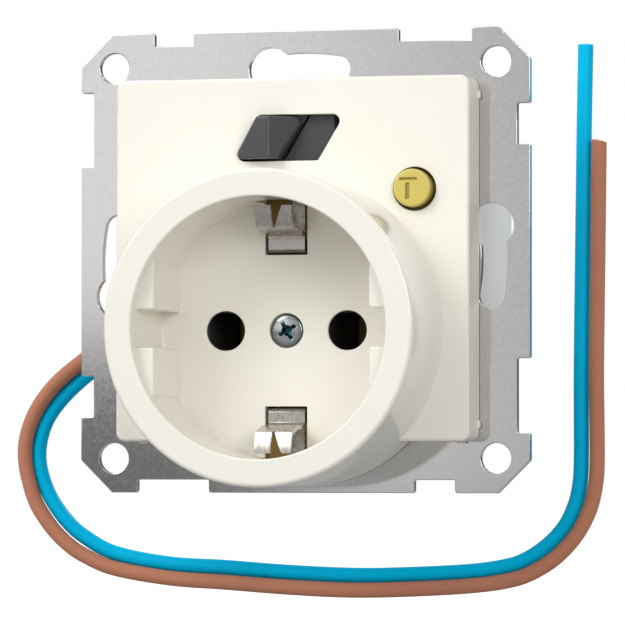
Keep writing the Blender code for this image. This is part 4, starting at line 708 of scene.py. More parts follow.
def halfway(tree, first, second):
    """Mean of two sockets."""
    return arithmetic(tree, "MULTIPLY", arithmetic(tree, "ADD", first, second), 0.5)


def roughen(group, enter, leave, amount):
    """Send out a roughness that rises by its swing with an amount."""
    rough = arithmetic(group, "ADD", enter.outputs["Roughness"], enter.outputs["Roughness Swing"])
    group.links.new(spread(group, amount, enter.outputs["Roughness"], rough), leave.inputs["Roughness"])


def shade_tone(group, enter, leave, amount):
    """Send out a tone that falls short of 1 by its swing where an amount is low."""
    down = arithmetic(group, "SUBTRACT", 1.0, enter.outputs["Tone Swing"])
    group.links.new(spread(group, amount, down, 1.0), leave.inputs["Tone"])


def moulding_group():
    """Moulded skin: slow unevenness of the tone and a fine even grain."""
    group, enter, leave = new_group("moulded_skin", [
        ("Vector", "NodeSocketVector", None), ("Grain Scale", "NodeSocketFloat", 3000.0),
        ("Tone Swing", "NodeSocketFloat", 0.02), ("Roughness", "NodeSocketFloat", 0.2),
        ("Roughness Swing", "NodeSocketFloat", 0.05)],
        [("Tone", "NodeSocketFloat"), ("Roughness", "NodeSocketFloat"), ("Height", "NodeSocketFloat")])
    slow = noise(group, enter.outputs["Vector"], 90.0, 3.0)
    fine = noise(group, enter.outputs["Vector"], enter.outputs["Grain Scale"], 2.0)
    shade_tone(group, enter, leave, slow)
    roughen(group, enter, leave, halfway(group, slow, fine))
    group.links.new(fine, leave.inputs["Height"])
    return group


def rolled_group():
    """Rolled or plated sheet: grain drawn out along Z, and cloudy patches a few millimetres wide."""
    group, enter, leave = new_group("rolled_sheet", [
        ("Vector", "NodeSocketVector", None), ("Grain Scale", "NodeSocketFloat", 5000.0),
        ("Stretch", "NodeSocketFloat", 0.3), ("Patch Scale", "NodeSocketFloat", 500.0),
        ("Tone Swing", "NodeSocketFloat", 0.1), ("Roughness", "NodeSocketFloat", 0.2),
        ("Roughness Swing", "NodeSocketFloat", 0.1)],
        [("Tone", "NodeSocketFloat"), ("Roughness", "NodeSocketFloat"), ("Height", "NodeSocketFloat")])
    shape = node(group, "ShaderNodeCombineXYZ")
    shape.inputs["X"].default_value = 1.0
    shape.inputs["Y"].default_value = 1.0
    group.links.new(enter.outputs["Stretch"], shape.inputs["Z"])
    drawn = node(group, "ShaderNodeVectorMath", operation="MULTIPLY")
    group.links.new(enter.outputs["Vector"], drawn.inputs[0])
    group.links.new(shape.outputs["Vector"], drawn.inputs[1])
    grain = noise(group, drawn.outputs["Vector"], enter.outputs["Grain Scale"], 3.0)
    patch = noise(group, enter.outputs["Vector"], enter.outputs["Patch Scale"], 5.0, 0.65)
    both = halfway(group, grain, patch)
    shade_tone(group, enter, leave, both)
    roughen(group, enter, leave, both)
    group.links.new(both, leave.inputs["Height"])
    return group


def painted_shade_group():
    """Painted shade: one colour turning into another, darker one with depth into the wall."""
    group, enter, leave = new_group("depth_tint", [
        ("Vector", "NodeSocketVector", None), ("Colour", "NodeSocketColor", None),
        ("Deep Colour", "NodeSocketColor", (0.0, 0.0, 0.0, 1.0)), ("Start", "NodeSocketFloat", 0.0),
        ("End", "NodeSocketFloat", 1.0)], [("Colour", "NodeSocketColor")])
    axes = node(group, "ShaderNodeSeparateXYZ")
    mix = node(group, "ShaderNodeMix", data_type="RGBA")
    group.links.new(enter.outputs["Vector"], axes.inputs["Vector"])
    group.links.new(spread(group, axes.outputs["Y"], 0.0, 1.0, enter.outputs["Start"], enter.outputs["End"]),
                    mix.inputs["Factor"])
    group.links.new(enter.outputs["Colour"], mix.inputs["A"])
    group.links.new(enter.outputs["Deep Colour"], mix.inputs["B"])
    group.links.new(mix.outputs["Result"], leave.inputs["Colour"])
    return group


def paint_depth_shade(material, colour, start, end):
    """Paint shade into a material: its base colour turns into a darker one from one Y to the next."""
    tree = material.node_tree
    shader = tree.nodes["Principled BSDF"]
    shade_node = place_group(tree, shared_group("depth_tint", painted_shade_group), deep_colour=(*colour, 1.0),
                       start=start, end=end)
    tree.links.new(shader.inputs["Base Color"].links[0].from_socket, shade_node.inputs["Colour"])
    tree.links.new(shade_node.outputs["Colour"], shader.inputs["Base Color"])


def shared_group(name, build):
    """The group of that name, built once."""
    return bpy.data.node_groups.get(name) or build()


def principled(name):
    """New material, its tree and its Principled shader."""
    material = bpy.data.materials.new(name)
    material.use_nodes = True
    tree = material.node_tree
    return material, tree, tree.nodes["Principled BSDF"]


def toned(tree, colour, tone):
    """One colour multiplied by a tone that changes over the surface."""
    made = node(tree, "ShaderNodeMix", data_type="RGBA", blend_type="MULTIPLY")
    made.inputs["Factor"].default_value = 1.0
    made.inputs["A"].default_value = (*colour, 1.0)
    tree.links.new(tone, made.inputs["B"])
    return made.outputs["Result"]


def place_group(tree, group, **values):
    """Group node on Object coordinates with its own values."""
    where = node(tree, "ShaderNodeTexCoord")
    made = node(tree, "ShaderNodeGroup", node_tree=group)
    tree.links.new(where.outputs["Object"], made.inputs["Vector"])
    for label, value in values.items():
        made.inputs[label.replace("_", " ").title()].default_value = value
    return made


def skinned(name, colour, skin_name, build, depth, **values):
    """Material on one of the shared skins: its toned colour, its roughness and its relief."""
    material, tree, shader = principled(name)
    skin = place_group(tree, shared_group(skin_name, build), **values)
    tree.links.new(toned(tree, colour, skin.outputs["Tone"]), shader.inputs["Base Color"])
    tree.links.new(skin.outputs["Roughness"], shader.inputs["Roughness"])
    bump = node(tree, "ShaderNodeBump")
    bump.inputs["Strength"].default_value = 1.0
    bump.inputs["Distance"].default_value = depth
    tree.links.new(skin.outputs["Height"], bump.inputs["Height"])
    tree.links.new(bump.outputs["Normal"], shader.inputs["Normal"])
    return material, shader


def plastic(name, colour, roughness=0.3, swing=0.08, grain=2600.0, depth=0.002 * MM, tone=0.03, ior=1.5):
    """Moulded thermoplastic with a fine skin."""
    material, shader = skinned(name, colour, "moulded_skin", moulding_group, depth, grain_scale=grain,
                               tone_swing=tone, roughness=roughness, roughness_swing=swing)
    shader.inputs["IOR"].default_value = ior
    return material


def metal(name, colour, roughness=0.2, swing=0.12, grain=5000.0, stretch=0.3, patch=500.0,
          depth=0.004 * MM, tone=0.15):
    """Rolled or plated metal with drawn grain."""
    material, shader = skinned(name, colour, "rolled_sheet", rolled_group, depth, grain_scale=grain,
                               stretch=stretch, patch_scale=patch, tone_swing=tone, roughness=roughness,
                               roughness_swing=swing)
    shader.inputs["Metallic"].default_value = 1.0
    return material


# Cords

def smooth_route(route, y):
    """Even points on a Catmull-Rom curve through the chosen points.

    Each span is half of 2 b + (c - a) t + (2 a - 5 b + 4 c - d) t^2 + (3 b - a - 3 c + d) t^3.
    """
    knots = np.asarray(route, float) * MM
    padded = np.vstack([2 * knots[0] - knots[1], knots, 2 * knots[-1] - knots[-2]])
    a, b, c, d = (padded[i:len(padded) - 3 + i, None, :] for i in range(4))
    t = (np.arange(ROUTE_STEPS) / ROUTE_STEPS)[None, :, None]
    fine = 0.5 * (2 * b + (c - a) * t + (2 * a - 5 * b + 4 * c - d) * t ** 2
                  + (3 * b - a - 3 * c + d) * t ** 3)
    fine = np.vstack([fine.reshape(-1, 2), knots[-1]])
    travelled = np.concatenate([[0.0], np.cumsum(np.linalg.norm(np.diff(fine, axis=0), axis=1))])
    length = travelled[-1] - CORE_SINK
    stations = np.linspace(0.0, length, round(length / LEAD_STEP) + 1)
    path = np.stack([np.interp(stations, travelled, fine[:, 0]), np.full(len(stations), y),
                     np.interp(stations, travelled, fine[:, 1])], axis=1)
    return path, length


def lead_rings(path, radius, edge, slope):
    """Tube about a route that stays in one upright plane.

    A point is centre + r (side cos a + Y sin a), where side is the tangent turned a quarter in the
    plane. The last rings close in by a quarter round, and the cut leans by slope along the tangent.
    """
    inset, depth = quarter(edge, 4)
    tangent = unit(np.gradient(path, axis=0))
    last = path[-1] - tangent[-1] * depth[::-1, None]
    keep = path[:-1]
    centre = np.vstack([keep, last])
    tangent = np.vstack([tangent[:-1], np.repeat(tangent[-1:], len(last), axis=0)])
    radii = np.concatenate([np.full(len(keep), radius), radius - inset[::-1]])
    side = np.stack([tangent[:, 2], np.zeros(len(tangent)), -tangent[:, 0]], axis=1)
    angle = np.arange(LEAD_SIDES) * 2 * np.pi / LEAD_SIDES
    across = radii[:, None] * np.cos(angle)[None, :]
    deep = radii[:, None] * np.sin(angle)[None, :]
    rings = centre[:, None, :] + across[..., None] * side[:, None, :]
    rings[..., 1] += deep
    lean = np.zeros(len(centre))
    lean[-len(last):] = slope
    rings -= (lean[:, None] * (across + radius))[..., None] * tangent[:, None, :]
    return rings


def build_lead(name, route, y, colour, edge, slope, slot):
    """One lead with its copper core at the cut end."""
    path, length = smooth_route(route, y)
    radius = LEAD_DIAMETER / 2 - CORE_SINK / 5
    rings = lead_rings(path, radius, edge, slope)
    lead = body_from(name + "_skin", rings)
    skin = plastic(name + "_skin", colour, roughness=0.3, swing=0.1, grain=1500.0, depth=0.004 * MM,
                   tone=0.06, ior=1.15)
    present(lead, skin, slot, "case", name)
    core_path = np.array([path[-3], path[-1] + CORE_SINK / 2 * unit(path[-1] - path[-2])])
    core_rings = lead_rings(np.vstack([core_path[0], core_path.mean(axis=0), core_path[1]]),
                            CORE_DIAMETER / 2, edge / 2, slope)
    core = body_from(name + "_core", core_rings)
    present(core, metal(name + "_core", (0.78, 0.42, 0.26), roughness=0.3), "copper", "case")
    return lead


# Operators

class SOCKETLOOKS_OT_studio(Operator):
    """Camera at the photograph's view, lamps, surroundings and floor"""
    bl_idname = "socket_looks.studio"
    bl_label = "Studio"

    def execute(self, context):
        settings = context.scene.socket_studio
        self.aim_camera(context)
        self.light_world(context, settings)
        for name, (place, size, power) in LAMPS.items():
            self.add_lamp(name, place, size, getattr(settings, power))
        self.lay_floor(settings)
        return {"FINISHED"}

    def aim_camera(self, context):
        """Camera from the photograph: place, target, a slight roll and a long lens."""
        camera = object_of("camera", bpy.data.cameras.new("camera"))
        camera.location = CAMERA_PLACE
        facing = (CAMERA_TARGET - CAMERA_PLACE).to_track_quat("-Z", "Y")
        camera.rotation_mode = "QUATERNION"
        camera.rotation_quaternion = facing @ Quaternion((0.0, 0.0, 1.0), CAMERA_ROLL)
        camera.data.lens = CAMERA_LENS
        camera.data.sensor_width = CAMERA_SENSOR
        camera.data.clip_start = 0.01
        context.scene.camera = camera
        context.scene.view_settings.view_transform = "Standard"

    def light_world(self, context, settings):
        """White to the camera, soft light on matt surfaces, and for gloss a pale panel with a dark gap.

        The matt light and the panel both fade from left to right. The panel is brightest high up and
        dimmest behind the wall, and its gap lies low at the left.
        """
        world = bpy.data.worlds.new("surroundings")
        context.scene.world = world
        world.use_nodes = True
        tree = world.node_tree
        light = tree.nodes["Background"]
        rays = node(tree, "ShaderNodeLightPath")
        where = node(tree, "ShaderNodeTexCoord")
        axes = node(tree, "ShaderNodeSeparateXYZ")
        tree.links.new(where.outputs["Generated"], axes.inputs["Vector"])
        side = axes.outputs["X"]
        rise = axes.outputs["Z"]
        gap = arithmetic(tree, "MULTIPLY", spread(tree, side, *DARK_GAP_ACROSS),
                         spread(tree, rise, *DARK_GAP_UP))
        mirrored = arithmetic(tree, "MULTIPLY", spread(tree, side, *PANEL_LEFT),
                              spread(tree, side, *PANEL_MIDDLE), spread(tree, rise, *PANEL_TOP),
                              arithmetic(tree, "SUBTRACT", 1.0, gap),
                              spread(tree, axes.outputs["Y"], *PANEL_BEHIND))
        round_about = arithmetic(tree, "MULTIPLY", spread(tree, side, *MATT_ACROSS), settings.ambient)
        shiny = arithmetic(tree, "MAXIMUM", rays.outputs["Is Glossy Ray"],
                           rays.outputs["Is Transmission Ray"])
        matt_or_shiny = spread(tree, shiny, round_about, mirrored, 0.0, 1.0)
        level = spread(tree, rays.outputs["Is Camera Ray"], matt_or_shiny, 1.0, 0.0, 1.0)
        tree.links.new(level, light.inputs["Strength"])
        light.inputs["Color"].default_value = (1.0, 1.0, 1.0, 1.0)

    def add_lamp(self, name, place, size, power):
        """Square lamp that faces the part."""
        lamp = bpy.data.lights.new(name, "AREA")
        lamp.size = size
        lamp.energy = power
        thing = object_of(name, lamp)
        thing.location = place
        thing.rotation_euler = (-Vector(place)).to_track_quat("-Z", "Y").to_euler()

    def lay_floor(self, settings):
        """Large flat floor under the part; to the camera it is mostly white with a soft shadow."""
        level = CAD_BOX[0].z - settings.floor_drop
        corners = box_outline(-FLOOR_REACH, -FLOOR_REACH, FLOOR_REACH, FLOOR_REACH)
        points = np.column_stack([corners, np.full(4, level)])
        mesh = bpy.data.meshes.new("floor")
        mesh.from_pydata(points.tolist(), [], [[0, 1, 2, 3]])
        floor = object_of("floor", mesh)
        material, tree, shader = principled("floor")
        tree.nodes.remove(shader)
        matt = node(tree, "ShaderNodeBsdfDiffuse")
        white = node(tree, "ShaderNodeEmission")
        rays = node(tree, "ShaderNodeLightPath")
        both = node(tree, "ShaderNodeAddShader")
        seen = arithmetic(tree, "MAXIMUM", rays.outputs["Is Camera Ray"],
                          rays.outputs["Is Transmission Ray"])
        bounce = spread(tree, seen, settings.floor_bounce, 1.0, 0.0, 1.0)
        tree.links.new(toned(tree, settings.floor_colour, bounce), matt.inputs["Color"])
        tree.links.new(arithmetic(tree, "MULTIPLY", seen, settings.floor_lift), white.inputs["Strength"])
        tree.links.new(matt.outputs["BSDF"], both.inputs[0])
        tree.links.new(white.outputs["Emission"], both.inputs[1])
        tree.links.new(both.outputs["Shader"], tree.nodes["Material Output"].inputs["Surface"])
        mesh.materials.append(material)


class SOCKETLOOKS_OT_leads(Operator):
    """Brown and blue single-core leads with their cut ends"""
    bl_idname = "socket_looks.leads"
    bl_label = "Leads"

    def execute(self, context):
        settings = context.scene.socket_leads
        build_lead("brown_lead", BROWN_ROUTE, BROWN_Y, settings.brown, settings.cut_edge,
                   BROWN_CUT_SLOPE, "brown_insulation")
        build_lead("blue_lead", BLUE_ROUTE, BLUE_Y, settings.blue, settings.cut_edge,
                   0.0, "blue_insulation")
        return {"FINISHED"}


class SOCKETLOOKS_OT_plate(Operator):
    """Stamped steel plate with notches, corner holes and keyholes"""
    bl_idname = "socket_looks.plate"
    bl_label = "Mounting plate"

    def execute(self, context):
        settings = context.scene.socket_plate
        edge = settings.punch_edge
        plate = body_from("steel_plate", prism(self.outline(), PLATE_FRONT, PLATE_BACK, edge, edge / 2))
        for side in range(4):
            slot = spun(self.keyhole(), -side * np.pi / 2)
            carve(plate, "DIFFERENCE", bore(slot, PLATE_FRONT, PLATE_BACK, edge, edge / 2))
        corner = PLATE_HALF - CORNER_HOLE_INSET
        signs = [(across, up) for across in (-1, 1) for up in (-1, 1)]
        holes = [circle(CORNER_HOLE_DIAMETER / 2, np.multiply(sign, corner)) for sign in signs]
        holes += [circle(HOUSING_SCREW_HOLE / 2, np.multiply(sign, HOUSING_SCREW_PLACE), 24)
                  for sign in signs]
        holes.append(circle(STEM_DIAMETER / 2 + GAP, (STEM_X, STEM_Z), 24))
        clear = BASE_OPENING_CLEARANCE
        holes.append(box_outline(-BASE_BLOCK_HALF_WIDTH - clear, BASE_BLOCK_BOTTOM - clear,
                                 BASE_BLOCK_HALF_WIDTH + clear, BASE_BLOCK_TOP + clear))
        tower = APRON_RADIUS + 2 * GAP + APRON_THICKNESS
        holes.append(box_outline(PIVOT_X - tower, APRON_BOTTOM - tower + APRON_RADIUS,
                                 PIVOT_X + tower, APRON_TOP + tower - APRON_RADIUS))
        carve(plate, "DIFFERENCE", *(bore(hole, PLATE_FRONT, PLATE_BACK, edge, edge / 2) for hole in holes))
        steel = metal("galvanised_steel", settings.steel, roughness=0.04, swing=0.05, grain=5200.0,
                      stretch=0.35, patch=900.0, depth=0.0022 * MM, tone=0.15)
        present(plate, steel, "galvanised_steel", "case", "mounting_plate")
        return {"FINISHED"}

    def outline(self):
        """Square with cut corners and two notches a side, each corner rounded."""
        half = PLATE_HALF
        inner = half - NOTCH_DEPTH
        short = -half + SHORT_NOTCH_INSET - SHORT_NOTCH_WIDTH / 2
        long = half - LONG_NOTCH_INSET - LONG_NOTCH_WIDTH / 2
        top = np.array([(-half + CORNER_CUT, half), (short, half), (short, inner),
                        (short + SHORT_NOTCH_WIDTH, inner), (short + SHORT_NOTCH_WIDTH, half),
                        (long, half), (long, inner), (long + LONG_NOTCH_WIDTH, inner),
                        (long + LONG_NOTCH_WIDTH, half), (half - CORNER_CUT, half)])
        outer, hollow = NOTCH_OUTER_RADIUS, NOTCH_INNER_RADIUS
        radii = [outer, outer, hollow, hollow, outer, outer, hollow, hollow, outer, outer]
        corners = np.vstack([spun(top, -side * np.pi / 2) for side in range(4)])
        return rounded(corners, radii * 4, 4)[::-1]

    def keyhole(self):
        """Round head and an arc-shaped slot on one circle about the plate's middle."""
        head = KEYHOLE_HEAD_DIAMETER / 2
        half = KEYHOLE_SLOT_WIDTH / 2
        ring = KEYHOLE_CIRCLE_RADIUS

        def meets(radius):
            return math.acos((radius ** 2 + ring ** 2 - head ** 2) / (2 * radius * ring))

        def along(radius, start, end, count):
            angle = np.linspace(start, end, count)
            return radius * np.stack([np.sin(angle), np.cos(angle)], axis=1)

        outer = along(ring + half, KEYHOLE_HEAD_ANGLE + meets(ring + half), KEYHOLE_SLOT_ANGLE, 10)
        inner = along(ring - half, KEYHOLE_SLOT_ANGLE, KEYHOLE_HEAD_ANGLE + meets(ring - half), 10)
        end = along(ring, KEYHOLE_SLOT_ANGLE, KEYHOLE_SLOT_ANGLE, 1)[0]
        turn = np.pi / 2 - KEYHOLE_SLOT_ANGLE - np.linspace(0, np.pi, 18)[1:-1]
        tip = end + half * np.stack([np.cos(turn), np.sin(turn)], axis=1)
        centre = along(ring, KEYHOLE_HEAD_ANGLE, KEYHOLE_HEAD_ANGLE, 1)[0]
        first = inner[-1] - centre
        last = outer[0] - centre
        turn = np.linspace(math.atan2(first[1], first[0]),
                           math.atan2(last[1], last[0]) - 2 * np.pi, 40)[1:-1]
        round_head = centre + head * np.stack([np.cos(turn), np.sin(turn)], axis=1)
        return np.vstack([outer, tip, inner, round_head])[::-1]


class SOCKETLOOKS_OT_cover(Operator):
    """Cream front cover with its collar, recess, guides and openings"""
    bl_idname = "socket_looks.cover"
    bl_label = "Front cover"

    def execute(self, context):
        settings = context.scene.socket_cover
        back = COVER_REAR + OVER
        cover_back = COVER_FRONT + COVER_WALL
        rim_back = COLLAR_FRONT + COLLAR_WALL
        inner = COLLAR_RADIUS - COLLAR_WALL
        cup = RECESS_RADIUS + RECESS_WALL
        cover = body_from("cream_cover", self.shell(settings.edge_radius))
        carve(cover, "UNION", self.collar(settings.collar_edge))
        carve(cover, "DIFFERENCE", block(self.square(COVER_WALL), cover_back, back))
        carve(cover, "DIFFERENCE", turned([(inner, rim_back), (inner, back)], SOCKET_CENTRE, ROUND))
        carve(cover, "UNION", turned([(cup, rim_back - COLLAR_WALL / 2), (cup, FLOOR_BACK)],
                                     SOCKET_CENTRE, ROUND))
        carve(cover, "DIFFERENCE", self.recess(settings.mouth_radius, settings.floor_fillet))
        hole = circle(BUTTON_HOLE_DIAMETER / 2, (BUTTON_X, BUTTON_Z)) + BUTTON_HOLE_SHIFT
        sleeve_back = cover_back + SLEEVE_DEPTH
        sleeve = block(grown(hole, SLEEVE_WALL), cover_back - COVER_WALL / 2, sleeve_back)
        carve(cover, "UNION", sleeve, *self.guides(), *self.nubs())
        window = window_outline(0.0, WINDOW_WIDTH, WINDOW_X - WINDOW_WIDTH / 2)
        carve(cover, "DIFFERENCE", *self.floor_openings(),
              bore(window, COVER_FRONT, cover_back, settings.window_edge),
              bore(hole, COVER_FRONT, sleeve_back, settings.window_edge))
        cream = plastic("cream_plastic", settings.cream, roughness=0.07, swing=0.05, grain=1800.0,
                        depth=0.0015 * MM, tone=0.015)
        present(cover, cream, "cream_plastic", "case", "front_cover")
        return {"FINISHED"}

    def square(self, inset):
        """Rounded square of the cover, drawn in by an inset."""
        half = COVER_HALF - inset
        radius = max(COVER_CORNER_RADIUS - inset, COVER_CORNER_RADIUS / 4)
        return rounded(box_outline(-half, -half, half, half), radius, 8)

    def shell(self, edge):
        """Square front with a rounded edge, carried back to the skirt's end."""
        return prism(self.square(0.0), COVER_FRONT, COVER_REAR, edge, REAR_EDGE)

    def collar(self, edge):
        """Turned collar with a rounded front edge."""
        inset, depth = quarter(edge, 8)
        rim = np.stack([COLLAR_RADIUS - inset, COLLAR_FRONT + depth], axis=1)
        return turned(np.vstack([rim, [(COLLAR_RADIUS, COVER_REAR)]]), SOCKET_CENTRE, ROUND)

    def recess(self, mouth, fillet):
        """Turned cutter of the recess: flared mouth, straight wall, rounded floor corner."""
        grow, depth = quarter(mouth, 8)
        flare = np.stack([RECESS_RADIUS + grow, COLLAR_FRONT - TOUCH + depth], axis=1)
        inset, rise = quarter(fillet, 6)
        corner = np.stack([RECESS_RADIUS - inset, FLOOR_FRONT - rise], axis=1)[::-1]
        start = [(RECESS_RADIUS + mouth, COLLAR_FRONT - OVER)]
        return turned(np.vstack([start, flare, corner]), SOCKET_CENTRE, ROUND)

    def guides(self):
        """Four blocks that guide a plug, round at the back and flat towards the middle."""
        reach = RECESS_RADIUS + RECESS_WALL / 2
        shapes = []
        for side in (-1, 1):
            for level in (-1, 1):
                turn = np.linspace(math.asin(GUIDE_INNER / reach), math.asin(GUIDE_OUTER / reach), 12)
                rim = reach * np.stack([np.cos(turn), np.sin(turn)], axis=1)
                flat = [(GUIDE_FLAT, GUIDE_OUTER), (GUIDE_FLAT, GUIDE_INNER)]
                soft = rounded(np.vstack([rim[[0, -1]], flat]), 1.5 * GUIDE_EDGE, 5)
                outline = np.vstack([rim, soft[12:]]) * (side, level)
                outline = outline if side * level > 0 else outline[::-1]
                shapes.append(prism(outline + SOCKET_CENTRE, COLLAR_FRONT + GUIDE_SETBACK,
                                    FLOOR_FRONT + OVER, GUIDE_EDGE))
        return shapes

    def nubs(self):
        """Two small nubs near each end of every side of the skirt, at its rear edge."""
        shapes = []
        for side in range(4):
            for end in (-1, 1):
                along = end * (COVER_HALF - NUB_INSET)
                corners = box_outline(along - NUB_WIDTH / 2, COVER_HALF - COVER_WALL / 2,
                                      along + NUB_WIDTH / 2, COVER_HALF + NUB_RISE)
                outline = spun(rounded(corners, NUB_CORNER, 4), side * np.pi / 2)
                shapes.append(prism(outline, COVER_REAR - NUB_WIDTH, COVER_REAR - NUB_SETBACK, *NUB_EDGES))
        return shapes

    def floor_openings(self):
        """Pin holes, earth slots and the stepped screw hole."""
        shapes = []
        low = EARTH_SLOT_INNER
        high = RECESS_RADIUS + RECESS_WALL * 2 / 3
        for side in (-1, 1):
            place = (side * PIN_PITCH / 2, SOCKET_Z)
            hole = circle(PIN_HOLE_DIAMETER / 2, place, 96)
            shapes.append(bore(hole, FLOOR_FRONT, FLOOR_BACK, PIN_HOLE_EDGE))
            chamber = circle(PIN_CHAMBER_DIAMETER / 2, place, 96)
            shapes.append(block(chamber, FLOOR_FRONT + PIN_LIP, FLOOR_BACK + OVER))
            slot = box_outline(-EARTH_SLOT_WIDTH / 2, min(side * low, side * high),
                               EARTH_SLOT_WIDTH / 2, max(side * low, side * high)) + SOCKET_CENTRE
            shapes.append(block(rounded(slot, EARTH_SLOT_CORNER, 3), FLOOR_FRONT - EARTH_CHANNEL_HEIGHT,
                                FLOOR_BACK + OVER))
        head = HEAD_BORE_DIAMETER / 2
        shaft = SHAFT_BORE_DIAMETER / 2
        step = FLOOR_FRONT + COUNTERBORE_DEPTH
        grow, depth = quarter(HEAD_BORE_EDGE, 4)
        mouth = np.stack([head + grow, FLOOR_FRONT - TOUCH + depth], axis=1)
        profile = np.vstack([[(head + grow[0], FLOOR_FRONT - OVER)], mouth,
                             [(head, step), (shaft, step), (shaft, FLOOR_BACK + OVER)]])
        shapes.append(turned(profile, SOCKET_CENTRE))
        return shapes


def slanted(outline):
    """Outline sheared to the right with its height above the window's middle."""
    return np.stack([outline[:, 0] + (outline[:, 1] - WINDOW_Z) * WINDOW_SLANT, outline[:, 1]], axis=1)


def window_outline(inset, width, left):
    """Slanted window, or the lever in it: a sheared rectangle with two blunt and two sharp corners."""
    low = WINDOW_Z - WINDOW_HEIGHT / 2 + inset
    high = WINDOW_Z + WINDOW_HEIGHT / 2 - inset
    corners = box_outline(left, low, left + width, high)
    corners = slanted(corners)
    blunt = WINDOW_BLUNT - inset / 2
    return rounded(corners, [blunt, WINDOW_SHARP, blunt, WINDOW_SHARP], 8)


class SOCKETLOOKS_OT_toggle(Operator):
    """Charcoal toggle: faceted lever on a curved apron, with its hub and crank"""
    bl_idname = "socket_looks.toggle"
    bl_label = "Toggle"

    def execute(self, context):
        settings = context.scene.socket_controls
        ridge = COVER_FRONT - RIDGE_RISE
        cover_back = COVER_FRONT + COVER_WALL
        lever = window_outline(GAP, LEVER_WIDTH, LEVER_LEFT)
        head = body_from("charcoal_toggle", block(lever, ridge - OVER, cover_back + 2 * OVER))
        carve(head, "INTERSECT", upright(self.roof(ridge, cover_back + 3 * OVER), APRON_BOTTOM, APRON_TOP))
        soften(head, settings.lever_edge)
        carve(head, "UNION", upright(self.apron(), APRON_BOTTOM, APRON_TOP))
        stem = self.bar(HUB_RADIUS / 2, APRON_RADIUS - APRON_THICKNESS / 2, STEM_WIDTH)
        carve(head, "UNION", upright(stem, APRON_BOTTOM + OVER, APRON_TOP - OVER))
        pivot = (PIVOT_X, PIVOT_Y)
        carve(head, "UNION", upright(circle(HUB_RADIUS, pivot, 48), APRON_BOTTOM, APRON_TOP))
        low = WINDOW_Z - CRANK_HALF_HEIGHT
        high = WINDOW_Z + CRANK_HALF_HEIGHT
        carve(head, "UNION", upright(self.bar(-CRANK_RADIUS, -HUB_RADIUS / 2, CRANK_WIDTH), low, high))
        peg = circle(PEG_DIAMETER / 2, self.around(-CRANK_RADIUS, TOGGLE_REST), 32)
        carve(head, "UNION", upright(peg, low - GAP, high + GAP))
        hole = circle(PIN_BORE_DIAMETER / 2, pivot, 32)
        carve(head, "DIFFERENCE", upright(hole, APRON_BOTTOM - OVER, APRON_TOP + OVER),
              block(self.slit(), cover_back, cover_back + GAP + APRON_THICKNESS * 2))
        charcoal = plastic("charcoal_plastic", settings.charcoal, roughness=0.25, swing=0.1, grain=4200.0,
                           depth=0.004 * MM, tone=0.12)
        present(head, charcoal, "charcoal_plastic", "toggle", "toggle_lever")
        return {"FINISHED"}

    def around(self, radius, angle):
        """Point in plan: pivot + radius (sin a, -cos a), a counted from straight forward to the right."""
        return np.array([PIVOT_X + radius * np.sin(angle), PIVOT_Y - radius * np.cos(angle)])

    def roof(self, ridge, behind):
        """The lever's section in plan: a ridge, with a flat and a slope at its left, a slope at its right."""
        far_left = LEVER_LEFT - WINDOW_HEIGHT / 2
        far_right = LEVER_LEFT + LEVER_WIDTH + WINDOW_HEIGHT / 2
        return np.array([(far_left, behind), (far_right, behind), (far_right, ridge + RIGHT_DROP),
                         (RIDGE_X, ridge), (RIDGE_X - FACET_WIDTH, ridge + FACET_DROP),
                         (far_left, ridge + LEFT_DROP)])

    def slit(self):
        """Slanted slit in the apron, along the lever's right foot."""
        foot = LEVER_LEFT + LEVER_WIDTH
        corners = box_outline(foot, WINDOW_Z - WINDOW_HEIGHT / 2, foot + TOGGLE_SLIT,
                              WINDOW_Z + WINDOW_HEIGHT / 2)
        return slanted(corners)

    def apron(self):
        """Shell round the pivot: an arc at the left, flat to the right of the pivot, then bent back."""
        angle = np.linspace(APRON_LEFT, 0.0, 40)
        arc = self.around(APRON_RADIUS, angle).T
        flat = np.array([(APRON_CORNER, -APRON_RADIUS), (APRON_END[0], -APRON_END[1])])
        flat += (PIVOT_X, PIVOT_Y)
        outer = np.vstack([arc, flat])
        return np.vstack([outer, (outer + mitres(outer) * APRON_THICKNESS)[::-1]])

    def bar(self, near, far, width):
        """Straight bar in plan along the lever's own line."""
        start = self.around(near, TOGGLE_REST)
        end = self.around(far, TOGGLE_REST)
        side = unit(end - start)[::-1] * (-1, 1) * width / 2
        return np.array([start - side, end - side, end + side, start + side])


